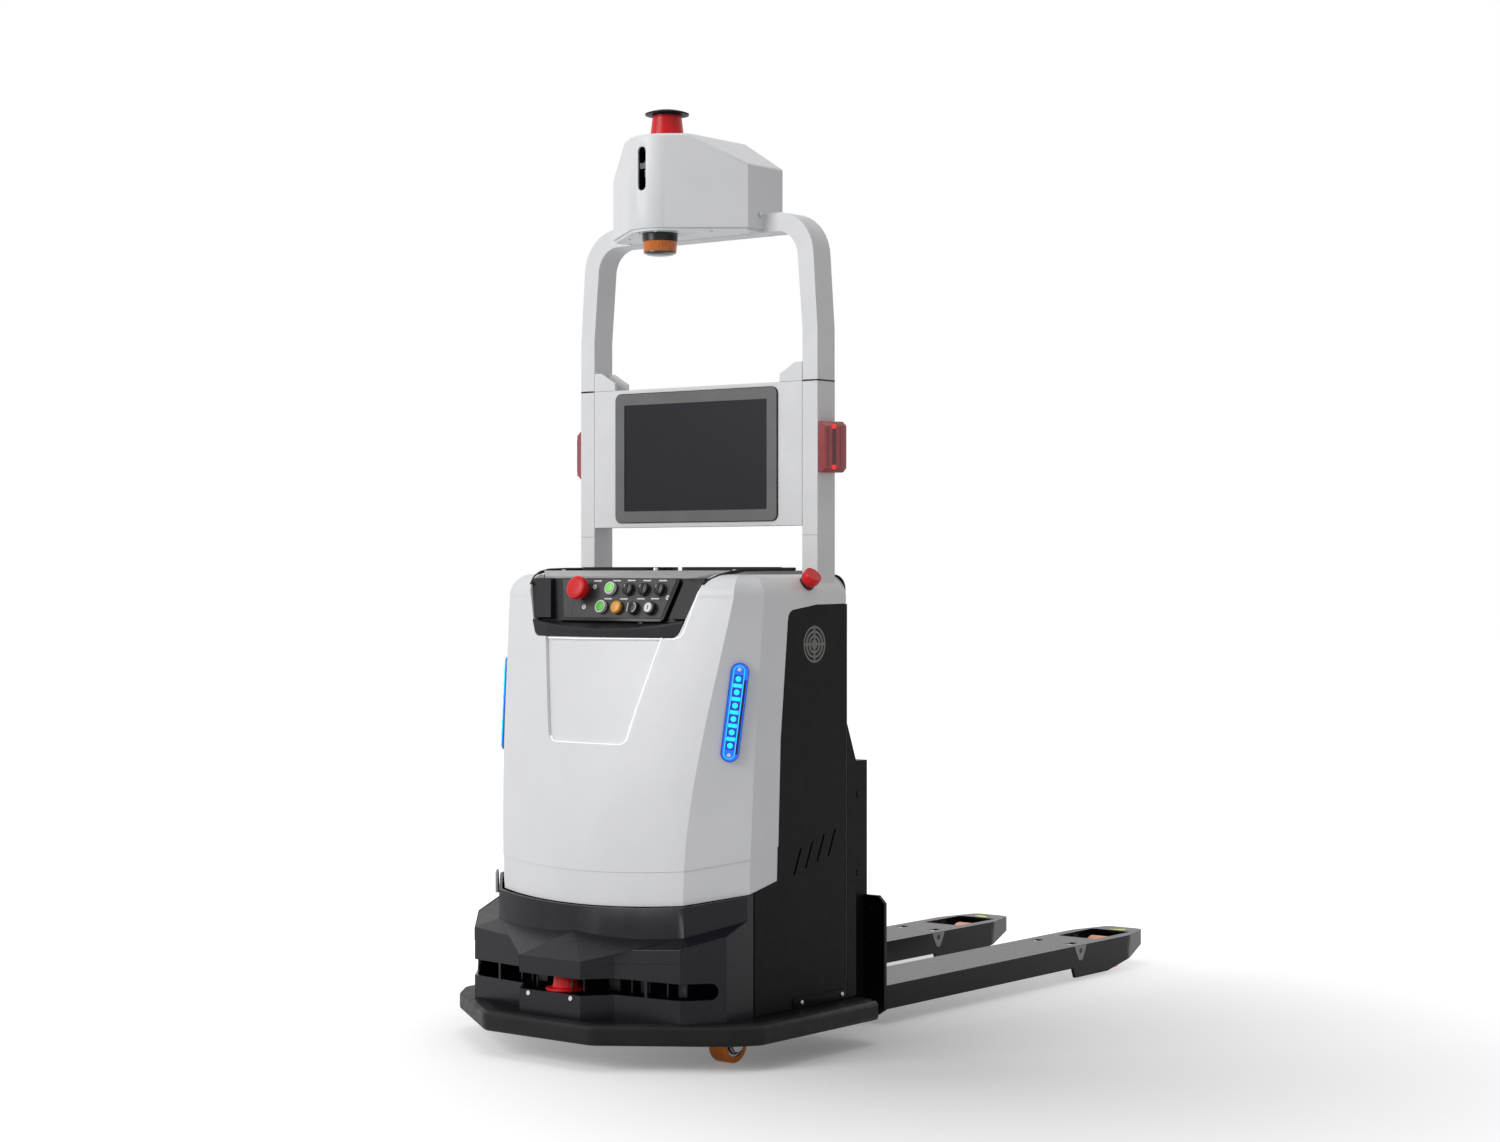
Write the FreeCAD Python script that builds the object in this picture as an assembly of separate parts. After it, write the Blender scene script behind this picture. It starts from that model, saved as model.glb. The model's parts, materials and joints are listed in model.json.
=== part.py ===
import FreeCAD, Part
import math
import os

# Automated guided vehicle: a driverless pallet truck with a low lifting fork.
# All sizes are millimetres. X is across, the forks point to +Y and the nose to -Y.
# While it is modelled, Y = 0 is the rear face of the fork carriage; the finished
# pieces are then moved so that the origin is under the middle of the whole truck.

# Overall sizes
fork_length = 1150.0
nose_reach = 812.0
bumper_width = 820.0
body_width = 680.0
body_back = -224.0
frame_back = -192.5
shell_wall = 4.0
plate_gap = 1.0
running_gap = 5.0
sliding_gap = 0.3
pin_gap = 0.05

# Casters
caster_x = 290.0
caster_y = -581.0
caster_trail = 22.0
caster_radius = 38.0
caster_width = 40.0
caster_axle_radius = 8.0
caster_boss = 7.0
caster_boss_reach = 1.5
caster_hub_depth = 4.0
caster_leg = 5.0
caster_leg_gap = 3.5
caster_crown_radius = 32.0
caster_crown_thickness = 3.0
caster_pocket_radius = 68.0
caster_pocket_roof = 5.7
caster_pin_radius = 10.0
caster_nut_radius = 17.0
caster_nut_height = 10.0
hub_radius = 26.0
caster_crown_low = 2 * caster_radius + running_gap
caster_ceiling = caster_crown_low + caster_crown_thickness + sliding_gap

# Base plate and rubber bumper
base_top = caster_ceiling + caster_pocket_roof
base_thickness = 12.0
bumper_edge_round = 9.0
bumper_thickness = 30.0
bumper_low = 50.0
bumper_rear = -210.0
bumper_side_end = -598.0
bumper_corner_x = 370.0
bumper_corner_y = -652.0
bumper_nose_x = 145.0
bumper_round = 40.0

# Steel frame inside the body
front_plate_thickness = 6.0
rear_plate_thickness = 8.0
web_thickness = 8.0
web_front = -540.0
web_top = 480.0
shelf_thickness = 10.0
frame_top = 580.0
window_low = (-520.0, 120.0)
window_high = (-340.0, 230.0)
battery_half_width = 260.0
battery_span = (-480.0, -230.0)
battery_height = 260.0

# White cover: columns are height, crease x, crease y, side crease y
cover_sections = [
    (300.0, 245.0, -645.0, -551.0),
    (460.0, 252.0, -642.0, -546.0),
    (700.0, 278.0, -608.0, -528.0),
    (930.0, 308.0, -563.0, -505.0),
]
cover_bow = 45.0
shoulder_round = 48.0
cover_edge_low = 318.0
cover_edge_rise = 0.216
cover_step_height = 69.0
cover_step_depth = 1.6

# Shallow recess in the front of the white cover
recess_half_top = 160.0
recess_half_low = 107.0
recess_low = 633.0
recess_round = 26.0
recess_depth = 8.0

# Black lower cover; lip columns are x, y, height and the shares of the wall that move it inwards
lower_cover_top = 352.0
lower_cover_back = -540.0
nose_lip = [
    (body_width / 2, lower_cover_back, 289.0, 1.0, 0.0),
    (body_width / 2, -552.0, 289.0, 1.0, 0.0),
    (body_width / 2, -625.0, 261.0, 1.0, 0.45),
    (281.0, -697.0, 238.0, 0.45, 1.0),
    (125.0, -716.0, 227.0, 0.7, 1.0),
    (82.6, -771.0, 206.0, 0.5, 1.0),
]
band_low = 255.0
band_reach = 8.0
lip_thickness = 1.6
scan_slot_low = 138.0
scan_slot_high = 171.0
slot_end_y = -650.0
slot_ribs = [-200.0, 200.0]
rib_half = 3.0
lower_cover_wall = 6.0
scanner_y = -722.0
scanner_low_radius = 27.0
scanner_high_radius = 22.5
scanner_flange = 5.0
scanner_body_radius = 38.0
scanner_rim = 3.0

# Side panels; outline columns are y, z and corner radius
side_panel_thickness = 4.0
side_panel_outline = [
    (-224.0, base_top + 3, 0), (-224.0, 916.0, 0), (-330.0, 915.0, 0), (-424.0, 903.0, 22.0),
    (-450.0, 642.0, 60.0), (-460.0, 358.0, 0), (-536.0, 340.0, 0), (-536.0, base_top + 3, 0),
]
fan_y = -335.5
fan_z = 834.0
fan_radius = 38.5
fan_ring_width = 5.5
fan_ring_step = 9.5
slot_columns = [(-379.5, 418.0), (-340.5, 429.0), (-301.0, 440.6), (-263.0, 448.0)]
slot_drop = 54.0
slot_lean = 24.0
slot_width = 6.0

# Rear cover
rear_slope = (667.0, 588.0)
rear_top_round = 30.0

# Top lid
lid_half_width = 272.0
lid_front = -554.0
lid_seat = 970.0
lid_slope_start = -506.0
lid_slope_low = 974.0
lid_back = -232.0
lid_low = 978.0
lid_thickness = 8.0
lid_corner = 60.0
lid_corner_round = 40.0
tray_span = (22.0, 260.0)
tray_y = -362.0
tray_half_depth = 52.0
tray_depth = 4.0
tray_rim_width = 5.0
tray_rim_height = 7.0

# Control panel in the front of the white cover
panel_half_top = 232.0
panel_half_bottom = 194.0
panel_low = 850.0
panel_back = -500.0
panel_top = 970.0
panel_low_round = 20.0
panel_top_round = 30.0
plate_low = (-584.0, 885.0)
plate_high = (-558.0, 970.0)
plate_half_low = 136.0
plate_half_high = 162.0
plate_thickness = 7.0
lip_front = -621.0
lip_side = -596.0
lip_high = 866.0
lip_side_high = 888.0
cheek_width = 26.0
cheek_front = -592.0
return_depth = 26.0
button_places = [
    (-12.0, 947.0), (36.0, 946.0), (78.0, 946.0), (121.0, 946.0),
    (-28.0, 909.0), (15.0, 908.0), (60.0, 907.0), (106.0, 907.0),
]
button_radius = 14.5
button_height = 15.0
stop_place = (-86.0, 942.0)
stop_radius = 25.0
stop_head = 18.0
stop_stem = 19.0

# Stop knobs on the shoulders
knob_x = 336.0
knob_y = -352.0
knob_z = 964.0
knob_radius = 19.5
knob_height = 21.0
knob_sunk = 14.0
knob_lean = (0.72, -0.08, 0.69)

# Side lights on the slanted front corners
light_width = 38.0
light_length = 200.0
light_depth = 14.0
light_middle_z = 702.0

# Posts, arch and screen
post_width = 40.0
post_depth = 60.0
post_inner = 289.0
post_front = -312.0
post_base = 900.0
post_joint = 1381.0
arch_bend = 1489.0
arch_top = 1736.0
arch_bar_low = 1696.0
arch_lean = 17.0
arch_outer_round = 95.0
arch_inner_round = 55.0
screen_low = 1080.0
screen_depth = 48.0
bezel_half = 224.0
bezel_low = 1091.0
bezel_high = 1371.0
bezel_thickness = 4.0
bezel_round = 14.0
glass_half = 197.0
glass_low = 1116.0
glass_high = 1346.0
glass_sunk = 0.5
ear_width = 60.0
ear_height = 40.0
ear_flat = 19.0
ear_tip_height = 16.0
ear_thickness = 6.0
lamp_low = 1189.0
lamp_high = 1295.0
lamp_reach = 47.0
lamp_end = 10.0
lamp_front = 14.0
lamp_rear = 26.0

# Head with the navigation scanner
head_half = 187.0
head_front = -365.0
head_back = -247.0
head_low = 1703.0
head_eave = 1835.0
head_roof = 1900.0
head_roof_half = 85.0
nose_radius = 83.0
nose_y = -405.0
head_wall = 4.0
under_plate_thickness = 6.0
camera_half = 40.0
camera_span = (-445.0, -385.0)
camera_slot_width = 22.0
camera_slot_low = 1782.0
camera_slot_high = 1874.0
head_round = 7.0
lidar_low_radius = 36.5
lidar_high_radius = 30.5
lidar_height = 50.0
lidar_cap_radius = 46.5
lidar_rim = 3.0
lidar_cap_height = 11.6
beacon_y = -428.0
beacon_radius = 38.0
beacon_low_radius = 34.0
beacon_height = 42.0
beacon_dome = 6.0

# Drive unit
drive_y = -410.0
drive_radius = 105.0
drive_width = 70.0
drive_axle_radius = 15.0
drive_well_radius = 128.0
yoke_thickness = 14.0
yoke_depth = 70.0
drive_wheel_gap = 12.0
drive_rim = 0.62
drive_dish = 10.0
drive_boss = 12.0
crown_thickness = 20.0
crown_radius = 88.0
slew_ring_radius = 78.0
slew_ring_thickness = 10.0
steer_pin_radius = 40.0
motor_radius = 60.0
motor_height = 130.0
drive_crown_low = 2 * drive_radius + drive_wheel_gap
drive_crown_top = drive_crown_low + crown_thickness
drive_shelf = drive_crown_top + slew_ring_thickness

# Lift
mast_half = 229.0
mast_depth = 180.0
mast_wall = 8.0
mast_top = 573.0
mast_low = 24.0
rail_x = 130.0
rail_width = 34.0
rail_reach = 70.0
rail_low = 96.0
shoe_height = 60.0
shoe_low = (130.0, 360.0)
cylinder_radius = 32.0
cylinder_top = 420.0
rod_radius = 16.0
rod_engage = 150.0
cylinder_y = -110.0

# Fork carriage and forks
carriage_half = 282.5
carriage_thickness = 10.0
carriage_low = 20.0
carriage_top = 280.0
carriage_corner = 17.0
fork_inner = 118.0
fork_outer = 282.5
fork_top = 85.0
fork_deck = 6.0
fork_wall = 8.0
fork_beam_low = 33.0
fork_deep_start = 778.0
fork_deep_low = 9.0
fork_deep_end = 925.0
fork_tip_low = 52.0
fork_tip_half = 50.0
fork_tip_round = 24.0
fork_taper_start = 1030.0
fork_nose_block = 40.0
marker = [(178.0, 1096.0, 3.0), (228.0, 1100.0, 6.0), (218.0, 1124.0, 9.0), (200.0, 1118.0, 6.0)]
marker_depth = 2.5
window_half = 54.0
window_round = 8.0
window_start = 915.0
window_end = 1082.0
pocket_half = 9.0
pocket_length = 34.0
pocket_y = 812.0
pocket_inset = 34.0
push_rod_width = 30.0
push_rod_height = 16.0
push_rod_z = 54.0
guide_places = (300.0, 700.0)
guide_thickness = 8.0

# Load rollers in the fork tips
roller_radius = 37.0
roller_width = 70.0
roller_gap = 6.0
roller_pitch = 2 * roller_radius + roller_gap
roller_axle_radius = 8.0
carrier_y = 1002.0
carrier_thickness = 5.0
carrier_height = 24.0
lever_y = 850.0
lever_z = 60.0
lever_thickness = 6.0
lever_end_radius = 13.0
lever_pin_radius = 9.0
pin_end_gap = 0.5
side_gap = 3.0

# Mount holes
carriage_hole_radius = 6.5
carriage_hole_x = 250.0
carriage_hole_low = 190.0
carriage_hole_high = 250.0

half_body = body_width / 2
half_bumper = bumper_width / 2
middle_y = (fork_length - nose_reach) / 2
nodes = {}


def vec(x, y, z):
    return FreeCAD.Vector(x, y, z)


def at_height(z):
    return lambda a, b: vec(a, b, z)


def at_side(x):
    return lambda a, b: vec(x, a, b)


def at_depth(y):
    return lambda a, b: vec(a, y, b)


def outline(corners, place):
    """Closed wire through (a, b) or (a, b, radius) corners, rounded where a radius is given."""
    count = len(corners)
    points = [vec(corner[0], corner[1], 0) for corner in corners]
    knots = []
    for i, corner in enumerate(corners):
        here = points[i]
        radius = corner[2] if len(corner) > 2 else 0
        if not radius:
            knots.append([here])
            continue
        back = (points[i - 1] - here).normalize()
        ahead = (points[(i + 1) % count] - here).normalize()
        half = back.getAngle(ahead) / 2
        reach = radius / math.tan(half)
        inward = (back + ahead).normalize()
        middle = here + inward * (radius / math.sin(half) - radius)
        knots.append([here + back * reach, middle, here + ahead * reach])
    edges = []
    for i, knot in enumerate(knots):
        spots = [place(p.x, p.y) for p in knot]
        if len(knot) == 3:
            edges.append(Part.Arc(*spots).toShape())
        following = knots[(i + 1) % count][0]
        end = place(following.x, following.y)
        if (end - spots[-1]).Length > 1e-6:
            edges.append(Part.makeLine(spots[-1], end))
    return Part.Wire(edges)


def rectangle(a0, a1, b0, b1, radius=0):
    """Corners of a rectangle, all with one rounding."""
    return [(a0, b0, radius), (a1, b0, radius), (a1, b1, radius), (a0, b1, radius)]


def prism(wire, push):
    return Part.Face(wire).extrude(push)


def slab(corners, low, high):
    """Plan outline extruded from one height to another."""
    return prism(outline(corners, at_height(low)), vec(0, 0, high - low))


def side_slab(corners, low, high):
    """Side outline (y, z) extruded across X."""
    return prism(outline(corners, at_side(low)), vec(high - low, 0, 0))


def front_slab(corners, low, high):
    """Front outline (x, z) extruded along Y."""
    return prism(outline(corners, at_depth(low)), vec(0, high - low, 0))


def block(x0, x1, y0, y1, z0, z1):
    return Part.makeBox(x1 - x0, y1 - y0, z1 - z0, vec(x0, y0, z0))


def drum(radius, x, y, low, high):
    """Upright cylinder."""
    return Part.makeCylinder(radius, high - low, vec(x, y, low))


def shaft(radius, low, high, y, z):
    """Cylinder along X."""
    return Part.makeCylinder(radius, high - low, vec(low, y, z), vec(1, 0, 0))


def bored(shape, radius, y, z):
    reach = 2 * bumper_width
    return shape.cut(shaft(radius, -reach, reach, y, z))


def mirrored(shape):
    return shape.mirror(vec(0, 0, 0), vec(1, 0, 0))


def flip(point):
    return vec(-point.x, point.y, point.z)


def both(shape):
    return [shape, mirrored(shape)]


def symmetric(half):
    """Closed plan outline from its right half, listed from the rear to the front."""
    left = [(-corner[0],) + tuple(corner[1:]) for corner in reversed(half)]
    return list(half) + left


def fuse(shapes):
    result = shapes[0].fuse(shapes[1:]) if len(shapes) > 1 else shapes[0]
    return result.removeSplitter()


def keep(name, *shapes):
    nodes[name] = list(shapes)


def bumper_half(inset, rear):
    """Right half of the bumper's plan outline, moved in by an inset."""
    side = half_bumper - inset
    corner_x = bumper_corner_x - inset * 0.95
    corner_y = bumper_corner_y + inset * 0.66
    nose_x = bumper_nose_x - inset * 0.32
    rounding = max(bumper_round - inset, 8.0)
    return [
        (side, rear),
        (side, bumper_side_end + inset * 0.33, rounding),
        (corner_x, corner_y, rounding / 2),
        (nose_x, -nose_reach + inset, rounding),
    ]


def make_base():
    base_low = base_top - base_thickness
    plate = slab(symmetric(bumper_half(bumper_thickness, frame_back)), base_low, base_top)
    plate = plate.cut(drum(drive_well_radius, 0, drive_y, base_low - 1, base_top + 1))
    for side in (-1, 1):
        x = side * caster_x
        plate = plate.cut(drum(caster_pocket_radius, x, caster_y, base_low - 1, caster_ceiling))
        plate = plate.cut(drum(caster_pin_radius + pin_gap, x, caster_y, base_low, base_top + 1))
    keep("base_plate", plate)

    outer = slab(symmetric(bumper_half(0, bumper_rear)), bumper_low, base_top)
    inner_rear = bumper_rear + base_thickness * 2
    inner = slab(symmetric(bumper_half(bumper_thickness, inner_rear)), bumper_low - 1, base_top + 1)
    keep("bumper", rounded(outer, bumper_edge_round, bumper_outer_edge).cut(inner))


def bumper_outer_edge(edge):
    """Long outer edges above and below, without the two cut ends at the rear."""
    box = edge.BoundBox
    return box.ZLength < 0.01 and box.YMin < bumper_rear - 1 and box.YLength + box.XLength > bumper_round


def rounded(shape, radius, choose):
    """The shape with the chosen edges rounded."""
    return shape.makeFillet(radius, [edge for edge in shape.Edges if choose(edge)])


def make_chassis_frame():
    """Welded frame: front and rear plates, side webs, two shelves and the uprights under the posts."""
    rear_face = frame_back - shell_wall
    web_outer = half_body - max(side_panel_thickness, shell_wall)
    rear = block(-web_outer, web_outer, rear_face - rear_plate_thickness, rear_face, base_top, frame_top)
    front = block(-web_outer, web_outer, web_front, web_front + front_plate_thickness, base_top, web_top)
    pieces = [rear, front]
    for side in both(block(web_outer - web_thickness, web_outer, web_front, rear_face, base_top, web_top)):
        pieces.append(side)
    for low in (drive_shelf, web_top - shelf_thickness):
        pieces.append(block(-web_outer, web_outer, web_front, rear_face, low, low + shelf_thickness))
    for side in both(post_block(base_top, post_base)):
        pieces.append(side)
    frame = fuse(pieces)
    (y0, z0), (y1, z1) = window_low, window_high
    window = side_slab(rectangle(y0, y1, z0, z1, 20), -half_body, half_body)
    frame = frame.cut(window)
    shelf_top = drive_shelf + shelf_thickness
    pin_hole = drum(steer_pin_radius + pin_gap, 0, drive_y, drive_shelf - 1, shelf_top + 1)
    keep("chassis_frame", frame.cut(pin_hole))
    half = battery_half_width
    keep("battery", block(-half, half, *battery_span, web_top, web_top + battery_height))


def bowed_wire(right, tip):
    """Symmetric plan section: right half from the rear, its mirror and an arc over the tip."""
    left = [flip(point) for point in reversed(right)]
    path = left + right
    edges = [Part.makeLine(a, b) for a, b in zip(path, path[1:])]
    return Part.Wire(edges + [Part.Arc(right[-1], tip, left[0]).toShape()])


def cover_wire(height, crease_x, crease_y, side_y, inset, wall, back):
    """Plan section of the body: side, slanted corner and bowed front."""
    move = inset + wall
    side = half_body - move
    slant = math.tan(math.radians(22.5)) * move
    corner = vec(crease_x - slant, crease_y + move, height)
    bow = vec(0, crease_y - cover_bow + move, height)
    return bowed_wire([vec(side, back, height), vec(side, side_y + slant, height), corner], bow)


def cover_body(wall, back):
    """Solid body form up to the rounded shoulders, moved in by a wall."""
    walls = [cover_wire(*row, 0, wall, back) for row in cover_sections]
    lower = Part.makeLoft(walls, True, False)
    top, crease_x, crease_y, side_y = cover_sections[-1]
    rounds = []
    for angle in (0, 30, 60, 90):
        turn = math.radians(angle)
        inset = shoulder_round * (1 - math.cos(turn))
        height = top + (shoulder_round - wall) * math.sin(turn)
        rounds.append(cover_wire(height, crease_x, crease_y, side_y, inset, wall, back))
    return lower.fuse(Part.makeLoft(rounds, True, False))


def panel_region(gap):
    """Notch in the front of the cover that holds the control panel."""
    top = panel_top + shoulder_round
    shoulder = panel_top - panel_low_round
    half = [(panel_half_bottom + gap, panel_low - gap, panel_low_round),
            (panel_half_top + gap, shoulder, panel_top_round), (panel_half_top + panel_low_round, top)]
    return front_slab(symmetric(half), -nose_reach, panel_back)


def under_edge(gap):
    """Side outline of the space below the white cover's rising lower edge."""
    front_drop = cover_edge_rise * (nose_reach + cover_sections[0][2])
    back_rise = cover_edge_rise * (body_back - cover_sections[0][2])
    low = base_top - 1
    return [(-nose_reach, low), (-nose_reach, cover_edge_low - front_drop - gap),
            (body_back, cover_edge_low + back_rise - gap), (body_back, low)]


def recess_form(wall):
    """Space of the shallow front recess, deeper and wider by a wall for the inside of the shell."""
    top = panel_low + shell_wall
    wide = recess_half_top + wall
    narrow = recess_half_low + wall
    low = recess_low - wall
    form = front_slab([(wide, top), (narrow, low, recess_round), (-narrow, low, recess_round), (-wide, top)],
                      -nose_reach, panel_back)
    return form.cut(cover_body(recess_depth + wall, body_back))


def post_block(low, high):
    """Space of the right post between two heights."""
    return block(post_inner, post_inner + post_width, post_front, post_front + post_depth, low, high)


def make_front_cover():
    outer = cover_body(0, body_back - shell_wall).cut(recess_form(0))
    inner = cover_body(shell_wall, body_back + 1).cut(recess_form(shell_wall))
    shell = outer.cut(inner)
    shell = shell.cut(side_slab(under_edge(0), -half_body - 1, half_body + 1))
    opening = [(y, z, r) for y, z, r in side_panel_outline]
    grow = fitted_outline(opening, plate_gap)
    for side in both(side_slab(grow, half_body - shell_wall - 16, half_body + 1)):
        shell = shell.cut(side)
    lid = slab(lid_corners(plate_gap), lid_seat, lid_low + 20)
    edge = panel_region(plate_gap + shell_wall).common(outer).cut(cover_body(return_depth, body_back))
    shell = shell.fuse(edge).cut(panel_region(plate_gap)).cut(lid)
    step = side_slab(under_edge(-cover_step_height), -half_body - 1, half_body + 1)
    shell = shell.cut(step.cut(cover_body(cover_step_depth, body_back)))
    for side in both(post_block(post_base, lid_low + 20)):
        shell = shell.cut(side)
    keep("front_cover", largest(shell))


def largest(shape):
    return max(shape.Solids, key=lambda solid: solid.Volume)


def fitted_outline(corners, gap):
    """The outline moved out by a gap, away from its middle."""
    middle_a = sum(c[0] for c in corners) / len(corners)
    middle_b = sum(c[1] for c in corners) / len(corners)
    moved = []
    for a, b, radius in corners:
        moved.append((a + math.copysign(gap, a - middle_a), b + math.copysign(gap, b - middle_b), radius))
    return moved


def make_side_panels():
    inner = half_body - side_panel_thickness
    panel = side_slab(side_panel_outline, inner, half_body)
    panel = bored(panel, fan_radius, fan_y, fan_z)
    for y, z in slot_columns:
        low_y, low_z = y - slot_lean, z - slot_drop
        slot = [(y, z), (low_y, low_z), (low_y - slot_width, low_z), (y - slot_width, z)]
        panel = panel.cut(side_slab(slot, inner - 1, half_body + 1))
    keep("side_panel_right", panel)
    keep("side_panel_left", mirrored(panel))

    rings = []
    radius = fan_radius
    while radius > fan_ring_step:
        ring = shaft(radius, inner, half_body - 1, fan_y, fan_z)
        ring = ring.cut(shaft(radius - fan_ring_width, inner - 1, half_body, fan_y, fan_z))
        rings.append(ring)
        radius -= fan_ring_step
    bar = fan_ring_width / 2
    length = fan_radius - fan_ring_width / 2
    rings.append(block(inner, half_body - 1, fan_y - length, fan_y + length, fan_z - bar, fan_z + bar))
    rings.append(block(inner, half_body - 1, fan_y - bar, fan_y + bar, fan_z - length, fan_z + length))
    keep("fan_grilles", *both(fuse(rings)))


def make_rear_cover():
    """Folded rear sheet: flat above, standing out over the frame below."""
    wall = shell_wall
    width = half_body - side_panel_thickness
    slope_high, slope_low = rear_slope
    sheet = side_slab([(body_back, lid_low), (body_back, slope_high), (frame_back, slope_low),
                       (frame_back, base_top + wall), (frame_back - wall, base_top + wall),
                       (frame_back - wall, slope_low - 1), (body_back - wall, slope_high - 1),
                       (body_back - wall, lid_low)], -width, width)
    sheet = sheet.common(front_slab(symmetric([(width, base_top), (width, lid_low, rear_top_round)]),
                                    body_back - wall - 1, frame_back + 1))
    for side in both(post_block(base_top, post_base)):
        sheet = sheet.cut(side)
    start = body_back + plate_gap
    cheek = side_slab([(start, slope_high - 2), (frame_back, slope_low), (frame_back, base_top + wall),
                       (start, base_top + wall)], width, half_body)
    keep("rear_cover", fuse([sheet] + both(cheek)))


def lid_corners(gap):
    half = lid_half_width + gap
    front = lid_front - gap
    back = lid_back + gap
    return symmetric([(half, back, 12), (half, front + lid_corner, lid_corner_round),
                      (half - lid_corner, front, lid_corner_round)])


def make_lid():
    """Flat lid that slopes down to the control panel, with two oval trays in raised rims."""
    top = lid_low + lid_thickness
    lid = slab(lid_corners(0), lid_seat, top)
    slope = [(lid_front - 1, lid_slope_low), (lid_front - 1, top + 1), (lid_slope_start, top + 1),
             (lid_slope_start, top)]
    lid = lid.cut(side_slab(slope, -half_body, half_body))
    for side in both(tray_form(0, top, top + tray_rim_height)):
        lid = lid.fuse(side)
    for side in both(tray_form(tray_rim_width, top - tray_depth, top + tray_rim_height + 1)):
        lid = lid.cut(side)
    keep("top_lid", lid.removeSplitter())


def tray_form(inset, low, high):
    """Oval of the right tray, moved in by an inset."""
    inner, outer = tray_span
    reach = tray_half_depth - inset
    oval = rectangle(inner + inset, outer - inset, tray_y - reach, tray_y + reach, reach - 1)
    return slab(oval, low, high)


def tray_section(x, front, high):
    """Side section of the panel tray: flat back, top, slope down to the plate's foot, lip and bottom."""
    corners = [(panel_back, lid_seat), (plate_high[0] + 4, lid_seat), (plate_low[0] + 4, plate_low[1] - 4),
               (front + 2, high), (front, high - 4), (front, panel_low), (panel_back, panel_low)]
    return outline(corners, at_side(x))


def make_control_panel():
    """Black tray with a slanted button plate, a bowed front lip and raised cheeks."""
    region = panel_region(0)
    wires = []
    for share in (-1, -0.67, -0.33, 0, 0.33, 0.67, 1):
        bow = 1 - share * share
        front = lip_side + (lip_front - lip_side) * bow
        high = lip_side_high + (lip_high - lip_side_high) * bow
        wires.append(tray_section(panel_half_top * share, front, high))
    tray = fuse([Part.makeLoft(list(pair), True, True) for pair in zip(wires, wires[1:])]).common(region)
    cheek = side_slab([(panel_back, lid_seat), (plate_high[0] - 8, lid_seat), (cheek_front, lip_side_high),
                       (panel_back, lip_side_high)],
                      plate_half_low + cheek_width, panel_half_top + panel_low_round)
    low_x, high_x = plate_half_low + cheek_width, plate_half_high + cheek_width
    outside = 2 * panel_half_top
    side = [(low_x, lip_side_high), (high_x, lid_low), (outside, lid_low), (outside, lip_side_high)]
    slope = front_slab(side, -nose_reach, panel_back)
    cheeks = both(cheek.common(slope).common(region))
    foot, outward = plate_spot(0, plate_low[1])
    head, _ = plate_spot(0, plate_high[1])
    corners = [vec(plate_half_low, foot.y, foot.z), vec(plate_half_high, head.y, head.z)]
    wire = Part.makePolygon(corners + [flip(corners[1]), flip(corners[0]), corners[0]])
    plate = Part.Face(wire).extrude(outward * -plate_thickness)
    keep("control_panel", largest(fuse([tray, plate] + cheeks)))


def plate_spot(x, z):
    """Point and outward direction on the slanted button plate."""
    low, high = vec(0, *plate_low), vec(0, *plate_high)
    along = (high - low).normalize()
    place = low + along * ((z - low.z) / along.z)
    return vec(x, place.y, z), vec(0, -along.z, along.y)


def make_controls():
    buttons = []
    for x, z in button_places:
        place, outward = plate_spot(x, z)
        buttons.append(Part.makeCylinder(button_radius, button_height, place, outward))
    keep("control_buttons", *buttons)
    place, outward = plate_spot(*stop_place)
    stem = Part.makeCylinder(stop_radius * 0.6, stop_stem, place, outward)
    head = Part.makeCylinder(stop_radius, stop_head, place + outward * stop_stem, outward)
    keep("emergency_stop", fuse([stem, head]))


def make_knobs():
    lean = vec(*knob_lean).normalize()
    low = vec(knob_x, knob_y, knob_z) - lean * knob_sunk
    knob = Part.makeCylinder(knob_radius, knob_height + knob_sunk, low, lean)
    keep("stop_knobs", *both(largest(knob.cut(cover_body(0, body_back - shell_wall)))))


def make_side_lights():
    low = cover_sections[1]
    high = cover_sections[3]
    foot = vec((low[1] + half_body) / 2, (low[2] + low[3]) / 2, low[0])
    crown = vec((high[1] + half_body) / 2, (high[2] + high[3]) / 2, high[0])
    up = (crown - foot).normalize()
    middle = foot + up * ((light_middle_z - foot.z) / up.z)
    across = vec(1, 1, 0).normalize()
    out = across.cross(up).normalize()
    if out.y > 0:
        out = out * -1
    half, rise = light_width / 2, light_length / 2
    bar = front_slab(rectangle(-half, half, -rise, rise, half - 1), -2 * light_depth, light_depth)
    bar.Placement = FreeCAD.Placement(middle, FreeCAD.Rotation(across, out, up, "ZXY"))
    light = largest(bar.cut(cover_body(0, body_back - shell_wall)))
    keep("side_lights", *both(light))


def flat_faced(faces):
    """Solid closed by flat faces, each listed by its corner points."""
    sheets = [Part.Face(Part.makePolygon(points + points[:1])) for points in faces]
    shell = Part.makeShell(sheets)
    shell.sewShape()
    solid = Part.Solid(shell)
    return solid if solid.Volume > 0 else solid.reversed()


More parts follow.
